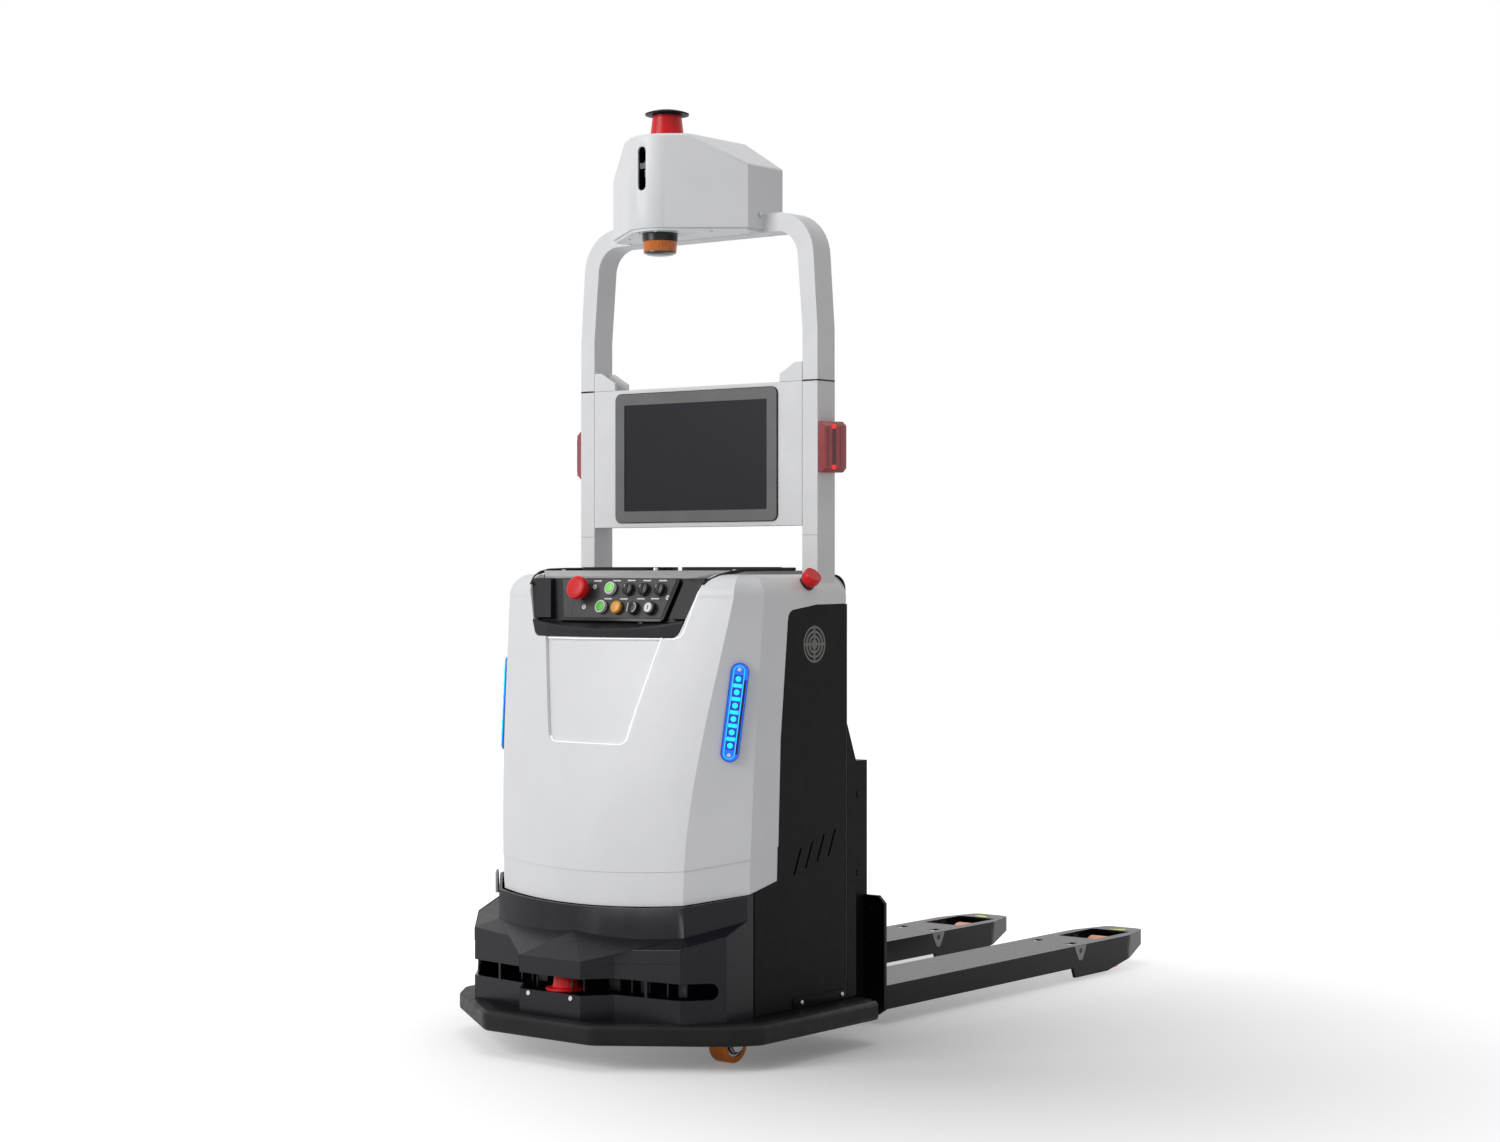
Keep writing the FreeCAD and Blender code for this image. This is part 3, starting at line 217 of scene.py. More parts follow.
class Finish:
    """A principled material whose colour, roughness and bump follow procedural noise."""

    def __init__(self, name, color, roughness=0.5, metallic=0.0):
        self.material = bpy.data.materials.new(name)
        self.tree = tree_of(self.material)
        out = self.node("ShaderNodeOutputMaterial")
        self.shader = self.node("ShaderNodeBsdfPrincipled")
        self.link(self.shader.outputs[0], out.inputs["Surface"])
        self.shader.inputs["Base Color"].default_value = (*color, 1)
        self.shader.inputs["Roughness"].default_value = roughness
        self.shader.inputs["Metallic"].default_value = metallic
        self.coords = self.node("ShaderNodeTexCoord").outputs["Object"]
        self.color = color
        self.roughness = roughness
        self.normal = None

    def node(self, kind):
        return self.tree.nodes.new(kind)

    def link(self, a, b):
        self.tree.links.new(a, b)

    def set(self, name, value):
        self.shader.inputs[name].default_value = value
        return self

    def noise(self, scale, detail=COLOR_DETAIL):
        texture = self.node("ShaderNodeTexNoise")
        texture.inputs["Scale"].default_value = scale
        texture.inputs["Detail"].default_value = detail
        self.link(self.coords, texture.inputs["Vector"])
        return texture.outputs["Fac"]

    def ramp(self, value, low, high):
        change = self.node("ShaderNodeMapRange")
        change.inputs["From Min"].default_value = NOISE_LOW
        change.inputs["From Max"].default_value = NOISE_HIGH
        change.inputs["To Min"].default_value = low
        change.inputs["To Max"].default_value = high
        self.link(value, change.inputs["Value"])
        return change.outputs["Result"]

    def vary_color(self, scale, other):
        mix = self.node("ShaderNodeMix")
        mix.data_type = "RGBA"
        mix.inputs["A"].default_value = (*self.color, 1)
        mix.inputs["B"].default_value = (*other, 1)
        self.link(self.ramp(self.noise(scale), 0, 1), mix.inputs["Factor"])
        self.link(mix.outputs["Result"], self.shader.inputs["Base Color"])
        return self

    def vary_roughness(self, scale, spread):
        result = self.ramp(self.noise(scale), self.roughness - spread, self.roughness + spread)
        self.link(result, self.shader.inputs["Roughness"])
        return self

    def bump(self, scale, depth):
        bump = self.node("ShaderNodeBump")
        bump.inputs["Distance"].default_value = depth
        bump.inputs["Strength"].default_value = 1.0
        self.link(self.noise(scale, BUMP_DETAIL), bump.inputs["Height"])
        if self.normal:
            self.link(self.normal, bump.inputs["Normal"])
        self.normal = bump.outputs["Normal"]
        self.link(self.normal, self.shader.inputs["Normal"])
        return self

    def glow(self, color, strength):
        self.shader.inputs["Emission Color"].default_value = (*color, 1)
        self.shader.inputs["Emission Strength"].default_value = strength
        return self


def white_paint():
    finish = Finish("white_cover_paint", (0.78, 0.785, 0.80), 0.42)
    finish.vary_color(9, (0.755, 0.76, 0.775)).vary_roughness(60, 0.05)
    finish.bump(900, 0.00006).bump(4000, 0.00003)
    return finish.set("Coat Weight", 0.15).set("Coat Roughness", 0.3).material


# Plain finishes: columns are colour, second colour, its scale, roughness, metallic, specular level,
# bump scale and bump depth in metres
PLAIN = {
    "posts": ((0.78, 0.785, 0.795), (0.75, 0.755, 0.765), 12, 0.48, 0, 0.4, 1400, 0.00008),
    "head_plate": ((0.76, 0.79, 0.82), (0.73, 0.76, 0.79), 20, 0.4, 0, 0.5, 900, 0.00005),
    "black": ((0.0045, 0.0045, 0.0052), (0.0062, 0.0062, 0.007), 30, 0.42, 0, 0.07, 1800, 0.00005),
    "fork": ((0.004, 0.004, 0.0048), (0.005, 0.005, 0.0058), 24, 0.28, 0, 0.13, 900, 0.000003),
    "moulded": ((0.0065, 0.006, 0.0098), (0.0082, 0.0076, 0.0118), 14, 0.27, 0, 0.24, 1200, 0.000003),
    "panel": ((0.0075, 0.0072, 0.0095), (0.0095, 0.0092, 0.0118), 16, 0.32, 0, 0.26, 1200, 0.00001),
    "panel_grey": ((0.035, 0.035, 0.037), (0.045, 0.045, 0.047), 22, 0.42, 0, 0.35, 1800, 0.00006),
    "gloss_black": ((0.006, 0.006, 0.007), (0.010, 0.010, 0.011), 40, 0.25, 0, 0.3, 1500, 0.00003),
    "slot_grey": ((0.022, 0.022, 0.022), (0.03, 0.03, 0.03), 40, 0.4, 0, 0.3, 1500, 0.00003),
    # lid: dark-grey plastic whose colour is lifted lighter to paint in the bright grazing reflection of its
    # glossy top
    "lid": ((0.44, 0.44, 0.45), (0.40, 0.40, 0.41), 14, 0.42, 0, 0.4, 1800, 0.00006),
    "rubber": ((0.008, 0.008, 0.0075), (0.013, 0.013, 0.0122), 18, 0.5, 0, 0.18, 1500, 0.00012),
    "steel": ((0.55, 0.56, 0.58), (0.44, 0.45, 0.47), 40, 0.3, 1, 0.5, 900, 0.00005),
    "fan": ((0.15, 0.147, 0.142), (0.17, 0.167, 0.162), 40, 0.45, 0, 0.3, 1500, 0.00005),
    "red": ((0.74, 0.010, 0.015), (0.64, 0.009, 0.013), 25, 0.3, 0, 0.28, 1600, 0.00004),
    "lamp": ((0.30, 0.030, 0.036), (0.36, 0.038, 0.044), 35, 0.22, 0, 0.55, 700, 0.00006),
    "lamp_dark": ((0.06, 0.006, 0.008), (0.09, 0.01, 0.012), 60, 0.3, 0, 0.5, 900, 0.00005),
    "amber": ((0.66, 0.17, 0.012), (0.52, 0.12, 0.01), 60, 0.2, 0, 0.4, 700, 0.00004),
    "smoked": ((0.03, 0.03, 0.034), (0.045, 0.045, 0.05), 20, 0.12, 0, 0.5, 900, 0.00003),
    "bezel": ((0.135, 0.135, 0.137), (0.15, 0.15, 0.152), 14, 0.42, 0, 0.3, 2200, 0.00005),
    "glass": ((0.018, 0.0165, 0.022), (0.0185, 0.017, 0.0226), 5, 0.3, 0, 0.15, 600, 0.000002),
    "print_white": ((0.78, 0.78, 0.79), (0.70, 0.70, 0.71), 80, 0.4, 0, 0.4, 1500, 0.00003),
    "seam_grey": ((0.26, 0.26, 0.27), (0.32, 0.32, 0.33), 30, 0.45, 0, 0.4, 1500, 0.00004),
    "button_green": ((0.05, 0.45, 0.004), (0.06, 0.52, 0.01), 60, 0.3, 0, 0.5, 1500, 0.00003),
    "button_bright_green": ((0.22, 0.80, 0.14), (0.18, 0.72, 0.11), 60, 0.3, 0, 0.5, 1500, 0.00003),
    "button_amber": ((0.80, 0.36, 0.02), (0.70, 0.30, 0.015), 60, 0.3, 0, 0.5, 1500, 0.00003),
    "caster_orange": ((0.85, 0.22, 0.012), (0.74, 0.19, 0.01), 35, 0.4, 0, 0.4, 700, 0.0001),
}

# Glowing finishes: columns are colour, glow colour, strength and roughness. The side lights and lamp dots are
# lamps; the other glows are painted light on parts that are no lamp
LIT = {
    "light_body": ((0.004, 0.02, 0.12), (0.0, 0.10, 0.8), 0.35, 0.15),
    "light_glow": ((0.004, 0.05, 0.4), (0.0, 0.16, 1.0), 0.75, 0.15),
    "light_square": ((0.002, 0.02, 0.25), (0.0, 0.05, 0.55), 0.5, 0.2),
    "light_cyan": ((0.01, 0.5, 0.8), (0.0, 0.62, 1.0), 1.1, 0.2),
    # peach roller tyres; the glow is painted light that lifts the shaded rollers under the deck
    "roller_peach_painted_glow": ((0.95, 0.42, 0.25), (0.95, 0.36, 0.2), 0.12, 0.45),
    # painted highlight: a glowing pale line that stands in for light caught on the white cover's edges
    "painted_highlight_white": ((0.8, 0.8, 0.81), (0.95, 0.96, 1.0), 0.55, 0.35),
    # painted light: glowing white plates that stand in for the bright floor seen through the fork's pockets
    "pocket_painted_floor_light": ((0.8, 0.8, 0.81), (0.95, 0.96, 1.0), 0.35, 0.35),
    # green tip marker; its colour is real, its glow is painted light that brightens it beyond what the lamps
    # give
    "marker_green_painted_glow": ((0.62, 0.72, 0.02), (0.75, 0.85, 0.0), 0.35, 0.4),
    # painted glint: grey glow standing in for a reflection on the camera in the head's slot
    "glint": ((0.30, 0.30, 0.31), (0.9, 0.9, 0.95), 0.13, 0.3),
    "lamp_dot": ((0.7, 0.01, 0.01), (1.0, 0.02, 0.02), 0.8, 0.2),
}
# Spread of roughness on dull and on glossy finishes, and the roughness over which a finish is dull
DULL_SPREAD = 0.05
GLOSSY_SPREAD = 0.01
DULL = 0.35
finishes = {}


def paint(name):
    """The material of one finish, made when it is first asked for."""
    if name not in finishes:
        if name == "white":
            finishes[name] = white_paint()
        elif name in LIT:
            color, light, strength, rough = LIT[name]
            finish = Finish(name, color, rough)
            darker = tuple(c * 0.8 for c in color)
            finish.vary_color(60, darker).vary_roughness(90, 0.04).bump(500, 0.00008)
            finishes[name] = finish.glow(light, strength).material
        else:
            color, other, scale, rough, metallic, specular, fine, depth = PLAIN[name]
            finish = Finish(name, color, rough, metallic).set("Specular IOR Level", specular)
            spread = DULL_SPREAD if rough > DULL else GLOSSY_SPREAD
            finish.vary_color(scale, other).vary_roughness(scale * 3, spread).bump(fine, depth)
            finishes[name] = finish.material
    return finishes[name]


# Finishes of the frame's own nodes
NODE_PAINTS = {
    "white": ["front_cover", "head_housing"],
    "posts": ["lower_posts", "arch_frame", "screen_panel"],
    "head_plate": ["head_base_plate"],
    "black": ["base_plate", "side_panel_right", "side_panel_left", "rear_cover", "mast_box", "chassis_frame",
              "drive_yoke", "roller_lever_right", "roller_lever_left", "lift_cylinder", "battery",
              "lidar_cap"],
    "fork": ["fork_carriage", "fork_right", "fork_left"],
    "moulded": ["lower_cover", "head_camera"],
    "panel": ["control_panel"],
    "lid": ["top_lid"],
    "rubber": ["bumper", "drive_wheel"],
    "fan": ["fan_grilles"],
    "steel": ["lift_rails", "push_rods", "caster_fork_right", "caster_fork_left", "roller_carrier_right",
              "roller_carrier_left"],
    "red": ["emergency_stop", "stop_knobs", "safety_scanner", "lidar_scanner", "control_buttons"],
    "lamp": ["post_lamps"],
    "amber": ["warning_beacon"],
    "light_body": ["side_lights"],
    "bezel": ["screen_bezel"],
    "glass": ["screen_glass"],
    "caster_orange": ["caster_wheel_right", "caster_wheel_left"],
    "roller_peach_painted_glow": ["load_roller_rear_right", "load_roller_front_right", "load_roller_rear_left",
                     "load_roller_front_left"],
}


def dress_nodes():
    for name, nodes in NODE_PAINTS.items():
        for node in nodes:
            piece = frame["nodes"][node]
            piece.data.materials.clear()
            piece.data.materials.append(paint(name))


# Mesh building: degrees over which an edge stays sharp, and over which it gets a bevel
SMOOTH_TURN = 30
BEVEL_TURN = 35


def heading(u, v, angle):
    """Direction at an angle from u towards v."""
    return u * math.cos(angle) + v * math.sin(angle)


class Form:
    """Mesh under construction; places are millimetres in the same measure as at()."""

    def __init__(self):
        self.verts = []
        self.faces = []

    def loops(self, loops, closed=False):
        """Skin between loops of equal count, capped at both ends unless closed into a ring."""
        start, count = len(self.verts), len(loops[0])
        for loop in loops:
            self.verts += loop
        rows = len(loops)
        for row in range(rows if closed else rows - 1):
            a, b = start + row * count, start + (row + 1) % rows * count
            for i in range(count):
                j = (i + 1) % count
                self.faces.append((a + i, a + j, b + j, b + i))
        if not closed:
            self.faces.append(tuple(start + i for i in reversed(range(count))))
            last = start + (rows - 1) * count
            self.faces.append(tuple(last + i for i in range(count)))
        return self

    def lathe(self, spot, profile, sides=32, turn=0.0):
        """Turned form on a spot: profile rows are radius and height above the spot."""
        place, u, v, n = spot
        loops = []
        for radius, height in profile:
            radius = max(radius, 0.01)
            ring = []
            for i in range(sides):
                away = heading(u, v, turn + 2 * math.pi * i / sides)
                ring.append(place + away * radius / 1000 + n * height / 1000)
            loops.append(ring)
        return self.loops(loops)

    def pad(self, spot, outline, rise, edge=0.4, low=0.0):
        """Plate with a softened edge standing on a spot; the outline rows are (a, b) in the spot's plane."""
        place, u, v, n = spot
        middle_a = sum(p[0] for p in outline) / len(outline)
        middle_b = sum(p[1] for p in outline) / len(outline)
        loops = []
        for shrink, height in ((0, low), (0, rise - edge), (edge * 0.35, rise - edge * 0.35), (edge, rise)):
            ring = []
            for a, b in outline:
                away = math.hypot(a - middle_a, b - middle_b) or 1
                keep = max(away - shrink, 0) / away
                a, b = middle_a + (a - middle_a) * keep, middle_b + (b - middle_b) * keep
                ring.append(place + (u * a + v * b) / 1000 + n * height / 1000)
            loops.append(ring)
        return self.loops(loops)

    def frame(self, spot, outer, inner, rise, low=0.0):
        """Flat ring between two outlines of equal count."""
        place, u, v, n = spot

        def ring(outline, height):
            return [place + (u * a + v * b) / 1000 + n * height / 1000 for a, b in outline]

        loops = [ring(outer, low), ring(outer, rise), ring(inner, rise), ring(inner, low)]
        return self.loops(loops, closed=True)

    def turned(self, spot, profile, sides=72):
        """Ring turned about a spot's outward axis; its closed profile has rows of radius and height."""
        place, u, v, n = spot
        loops = []
        for i in range(sides):
            away = heading(u, v, 2 * math.pi * i / sides)
            loops.append([place + away * radius / 1000 + n * height / 1000 for radius, height in profile])
        return self.loops(loops, closed=True)

    def tube(self, points, radius, sides=10):
        """Round bar along points in the row frame."""
        loops = []
        for i, point in enumerate(points):
            ahead = points[min(i + 1, len(points) - 1)] - points[max(i - 1, 0)]
            ahead.normalize()
            side = ahead.orthogonal() if i == 0 else side - ahead * side.dot(ahead)
            side = side.normalized()
            up = ahead.cross(side)
            loops.append([point + heading(side, up, 2 * math.pi * k / sides) * radius / 1000
                          for k in range(sides)])
        return self.loops(loops)

    def make(self, name, finish, body, bevel=0.0):
        """Finished piece that rides a body; edges sharper than SMOOTH_TURN stay sharp."""
        mesh = bpy.data.meshes.new(name)
        mesh.from_pydata([tuple(v) for v in self.verts], [], self.faces)
        mesh.materials.append(paint(finish))
        build = bmesh.new()
        build.from_mesh(mesh)
        bmesh.ops.recalc_face_normals(build, faces=build.faces)
        for face in build.faces:
            face.smooth = True
        for edge in build.edges:
            if len(edge.link_faces) == 2 and edge.calc_face_angle(0) > math.radians(SMOOTH_TURN):
                edge.smooth = False
        build.to_mesh(mesh)
        build.free()
        piece = bpy.data.objects.new(name, mesh)
        bpy.context.collection.objects.link(piece)
        if bevel:
            soften(piece, bevel)
        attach(piece, body)
        return piece


def soften(piece, width):
    change = piece.modifiers.new("soft_edges", "BEVEL")
    change.width = width / 1000
    change.segments = 2
    change.limit_method = "ANGLE"
    change.angle_limit = math.radians(BEVEL_TURN)
    change.harden_normals = True


def spot(x, y, z, out, up=(0, 0, 1)):
    """Place with two directions in its plane and one outwards."""
    n = Vector(out).normalized()
    v = Vector(up)
    v = (v - n * v.dot(n)).normalized()
    return at(x, y, z), v.cross(n), v, n


def moved(place, a, b, rise=0.0):
    origin, u, v, n = place
    return origin + (u * a + v * b + n * rise) / 1000, u, v, n


def box_outline(width, height, radius=1.0, steps=4):
    radius = min(radius, width / 2 - 0.01, height / 2 - 0.01)
    right, top = width / 2 - radius, height / 2 - radius
    corners = [(right, top, 0), (-right, top, 90), (-right, -top, 180), (right, -top, 270)]
    points = []
    for a, b, start in corners:
        for k in range(steps + 1):
            angle = math.radians(start + 90 * k / steps)
            points.append((a + radius * math.cos(angle), b + radius * math.sin(angle)))
    return points


def flipped(place):
    """The same spot mirrored to the other side of the truck."""
    origin, u, v, n = (Vector((-part.x, part.y, part.z)) for part in place)
    return origin, -u, v, n


def socket_screw(form, place, radius=5.0, head=3.0):
    rim = radius * 0.86
    form.lathe(place, [(radius, -1), (radius, head - 0.7), (rim, head)], 24)
    socket = [(rim, 0), (radius * 0.52, 0.1), (radius * 0.46, -0.02)]
    return form.lathe(moved(place, 0, 0, head - 0.05), socket, 6)


def hex_bolt(form, place, radius=7.0, head=5.0):
    form.lathe(place, [(radius * 1.25, 0), (radius * 1.25, 1.2), (radius * 1.15, 1.5)], 28)
    hexagon = [(radius, 0), (radius, head - 0.8), (radius * 0.85, head)]
    return form.lathe(moved(place, 0, 0, 1.4), hexagon, 6, 0.3)


# Spots on the truck
PLATE_TURN = (0, -0.9563, 0.2925)
PLATE_UP = (0, 0.2925, 0.9563)


def plate_spot(x, z, rise=0.0):
    """Spot on the slanted button plate of the control panel."""
    place = spot(x, -584 + 26 * (z - 885) / 85, z, PLATE_TURN, PLATE_UP)
    return moved(place, 0, 0, rise)


def front_spot(x, y, z):
    return spot(x, y, z, (0, -1, 0))


def rear_spot(x, y, z):
    return spot(x, y, z, (0, 1, 0))


def top_spot(x, y, z):
    return spot(x, y, z, (0, 0, 1), (0, 1, 0))


def under_spot(x, y, z):
    return spot(x, y, z, (0, 0, -1), (0, 1, 0))


def side_spot(x, y, z):
    return spot(x, y, z, (1 if x > 0 else -1, 0, 0))


def wheel_spots(node):
    """The two flat ends of a wheel node as spots that face outwards along its axle."""
    low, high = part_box(node)
    middle = (Vector(low) + Vector(high)) / 2
    spots = []
    for x, way in ((high[0], 1), (low[0], -1)):
        n = Vector((way, 0, 0))
        v = Vector((0, 0, 1))
        spots.append((Vector((x, middle.y, middle.z)), v.cross(n), v, n))
    return spots


# Control panel: buttons are x, height and kind
BUTTONS = [
    (-12, 947, "green_bright"), (36, 946, "selector"), (78, 946, "selector"), (121, 946, "selector"),
    (-28, 909, "green"), (15, 908, "amber"), (60, 907, "ringed"), (106, 907, "key"),
]
LEGENDS = [(-57, 964), (-4, 964.5), (36, 965), (78, 965), (121, 965),
           (-19, 927), (25, 927), (71, 927.5), (109, 928)]
RING_SCREWS = [(-62, 951.6), (-81, 909.9), (143, 930)]


def make_button_plate():
    place = plate_spot(0, 927.5)
    sheet = Form().pad(place, [(-132, -41), (134, -41), (159, 42), (-157, 42)], 1.0)
    sheet.make("button_plate_sheet", "panel_grey", "chassis")
    rim = Form()
    rim.pad(place, [(-137, -49), (139, -49), (139, -43), (-137, -43)], 5.0, 1.2, -3)
    rim.pad(place, [(139, -49), (146, -43), (168, 36), (164, 43), (159, 43), (136, -42)], 5.0, 1.2, -3)
    rim.pad(moved(place, 84, -53), box_outline(12, 9, 3), 4.0, 0.8, -2)
    rim.make("button_plate_rim", "gloss_black", "chassis", bevel=0.6)
    groove = Form().pad(plate_spot(-112, 906, 0.9), box_outline(0.9, 30, 0.3), 0.25, 0.1)
    groove.pad(plate_spot(-98, 921.5, 0.9), box_outline(28, 0.9, 0.3), 0.25, 0.1)
    groove.make("button_plate_groove", "gloss_black", "chassis")
    bars = Form()
    for x, z in LEGENDS:
        bars.pad(plate_spot(x, z, 0.9), box_outline(21, 2.8, 0.8), 0.5, 0.15)
    bars.make("blank_legends", "print_white", "chassis")
    rings = Form()
    holes = Form()
    for x, z in RING_SCREWS:
        rings.lathe(plate_spot(x, z, 0.9), [(5.2, 0), (5.2, 0.8), (4.8, 1.0), (2.4, 1.0)], 28)
        holes.lathe(plate_spot(x, z, 0.9), [(2.3, 0), (2.3, 1.2), (1.6, 1.35), (1.2, 0.9)], 20)
    rings.make("plate_screw_rings", "print_white", "chassis")
    holes.make("plate_screw_heads", "gloss_black", "chassis")


def make_buttons():
    collars, rings, greens, brights, ambers, domes, marks = (Form() for _ in range(7))
    for x, z, kind in BUTTONS:
        place = plate_spot(x, z)
        collars.lathe(place, [(14.4, 0), (14.4, 3.2), (13.6, 4.2), (12.6, 4.4), (12.6, 5.5)], 40)
        if kind in ("green", "green_bright"):
            ring = [(13.4, 4), (13.4, 11.4), (12.7, 12.4), (11.4, 12.6), (10.6, 12), (10.4, 10)]
            rings.lathe(place, ring, 40)
            cap = greens if kind == "green" else brights
            cap.lathe(place, [(10.3, 9), (10.3, 12.6), (9.4, 13.5), (5, 14.1), (0, 14.2)], 40)
        elif kind == "amber":
            ambers.lathe(place, [(12.6, 4), (13.6, 8), (13.3, 11), (11.4, 13.6), (7, 14.8), (0, 15)], 40)
        else:
            domes.lathe(place, [(12.8, 4), (13.4, 7), (13.0, 10.5), (11, 12.6), (6, 13.4), (0, 13.5)], 40)
            if kind == "selector":
                domes.pad(moved(place, 0, 0, 12.4), box_outline(5.5, 21, 2.4), 2.4, 0.9)
                marks.pad(moved(place, -6.0, 3.5, 12.6), box_outline(1.4, 9, 0.6), 0.7, 0.2)
            elif kind == "ringed":
                arc = []
                for k in range(13):
                    origin, u, v, n = moved(place, 1.5, 0, 13.0)
                    arc.append(origin + heading(u, v, math.radians(-75 + 150 * k / 12)) * 0.0098)
                marks.tube(arc, 0.9, 8)
                marks.pad(moved(place, -10.4, 0, 12.0), box_outline(1.6, 19, 0.7), 1.4, 0.3)
            else:
                marks.lathe(moved(place, -1, 0, 12.6), [(10.2, 0), (10.2, 1.4), (9.6, 2.0), (0, 2.0)], 36)
                collars.pad(moved(place, -1, 0, 14.4), box_outline(2.2, 9, 1.0), 0.5, 0.15)
    collars.make("button_collars", "gloss_black", "chassis")
    rings.make("button_rings", "print_white", "chassis")
    greens.make("green_button", "button_green", "chassis")
    brights.make("bright_green_button", "button_bright_green", "chassis")
    ambers.make("amber_button", "button_amber", "chassis")
    marks.make("button_marks", "print_white", "chassis")
    piece = domes.make("selector_knobs", "gloss_black", "chassis")
    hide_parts("control_buttons")


# Stop knob: rows are radius and height
KNOB = [(15.5, -13), (15.5, 0), (17.2, 1.5), (18.6, 4), (19.4, 6), (19.5, 18), (18.6, 20.2), (16.8, 20.9),
        (16, 20.2), (6, 20.2), (5.4, 20.8), (0, 20.8)]


def make_stops():
    place = plate_spot(-86, 942)
    collar = Form().lathe(place, [(19, 0), (19, 3.5), (18, 4.6), (15, 4.8)], 44)
    collar.make("stop_collar", "gloss_black", "chassis")
    mushroom = [(14.2, 3), (14.4, 11), (16.5, 15.5), (21.5, 18.5), (24.4, 21.5), (25, 25), (25, 30.5),
                (23.8, 34), (20.5, 36), (14, 36.8), (0, 36.9)]
    head = Form().lathe(place, mushroom, 56)
    piece = head.make("stop_mushroom", "red", "chassis")
    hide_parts("emergency_stop")
    knobs = Form()
    bases = Form()
    right = spot(336, -352, 964, (0.72, -0.08, 0.69), (0, 1, 0))
    for place in (right, flipped(right)):
        knobs.lathe(place, KNOB, 52)
        bases.lathe(place, [(17, -9), (17, -3.5), (16, -2.6)], 40)
    piece = knobs.make("stop_knob_heads", "red", "chassis")
    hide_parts("stop_knobs")
    bases.make("stop_knob_bases", "gloss_black", "chassis")


# Blue side lights
LIGHT_OUT = (0.706, -0.706, 0.048)
LIGHT_UP = (0.059, 0.1264, 0.9903)
LIGHT_STEP = 26.8


def make_side_lights():
    right = spot(310.4, -563.1, 702, LIGHT_OUT, LIGHT_UP)
    backs, glows, panels, squares, cells, strips, screws = (Form() for _ in range(7))
    for place, side in ((right, 1), (flipped(right), -1)):
        backs.pad(place, box_outline(37.8, 199.8, 18.8, 10), 9.5, 1.5, -12)
        glows.pad(moved(place, 0, 0, 9.3), box_outline(34, 196, 17, 10), 2.2, 1.6)
        panels.frame(moved(place, -2 * side, 0, 11.3), box_outline(23, 188, 11.4, 10),
                     box_outline(20.6, 185.6, 10.2, 10), 1.4)
        for k in range(6):
            b = LIGHT_STEP * (2.5 - k)
            squares.pad(moved(place, -2 * side, b, 11.3), box_outline(18, 17, 1.5), 0.7, 0.3)
            cells.lathe(moved(place, -2 * side, b, 11.9), [(5.8, 0), (5.4, 1.2), (3, 1.9), (0, 2.0)], 24)
            if k < 5:
                between = moved(place, -2 * side, b - LIGHT_STEP / 2, 11.3)
                cells.pad(between, box_outline(18, 7, 1.5), 1.2, 0.5)
        strips.pad(moved(place, 12.6 * side, -8, 11.2), box_outline(4.2, 150, 2), 1.3, 0.5)
        strips.frame(moved(place, 0, 0, 0.5), box_outline(37.9, 199.9, 18.9, 10),
                     box_outline(35, 197, 17.5, 10), 1.2)
        for b in (-86, 86):
            socket_screw(screws, moved(place, -2 * side, b, 11.2), 4.2, 1.8)
    piece = backs.make("side_light_bodies", "light_body", "chassis")
    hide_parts("side_lights")
    glows.make("side_light_lenses", "light_glow", "chassis")
    panels.make("side_light_rims", "light_cyan", "chassis")
    squares.make("side_light_squares", "light_square", "chassis")
    cells.make("side_light_cells", "light_cyan", "chassis")
    strips.make("side_light_strips", "gloss_black", "chassis")
    screws.make("side_light_screws", "steel", "chassis")


# Lid: trim rows are x, y, height of its middle line
TRIM = [(236, -572, 957), (241, -562, 965), (250, -546, 973), (262, -516, 982), (271, -480, 987),
        (274, -420, 988.5), (274, -318, 989)]


def make_lid_details():
    trims = Form()
    for side in (1, -1):
        trims.tube([at(x * side, y, z) for x, y, z in TRIM], 3.6, 10)
    trims.make("lid_edge_trims", "rubber", "chassis")
    mats = Form()
    for x in (141, -141):
        place = top_spot(x, -362, 982)
        mats.pad(place, box_outline(226, 92, 45.5, 10), 3.0, 1.0)
        for k in range(-4, 5):
            mats.pad(moved(place, k * 22, 0, 2.9), box_outline(3, 60, 1.4), 1.2, 0.4)
        mats.frame(moved(place, 0, 0, 9.6), box_outline(237.6, 103.6, 51, 10),
                   box_outline(228.4, 94.4, 46.5, 10), 1.8)
        mats.frame(moved(place, 0, 0, 4.2), box_outline(239.4, 105.4, 52, 10),
                   box_outline(237, 103, 50.8, 10), 6.8)
    mats.make("lid_oval_mats", "rubber", "chassis")
    pin = [(5, 0), (5, 3), (4, 6.4), (2, 7.4), (0, 7.5)]
    knob = Form().lathe(top_spot(8, -452, 985.8), pin, 28)
    for x in (-236, 236):
        socket_screw(knob, top_spot(x, -470, 985.8), 5, 2.2)
    knob.make("lid_knob_and_screws", "steel", "chassis")


# Posts and screen: seams are x, y, height, width, length on the front face
SEAMS = [(289, -312, 1250, 1.0, 340), (-289, -312, 1250, 1.0, 340),
         (259, -312, 1381, 58, 0.9), (-259, -312, 1381, 58, 0.9)]


# Post lamp: columns are height and how far its outer face is cut back
LAMP_ROWS = [(1189, 9), (1198, 0), (1286, 0), (1295, 9)]


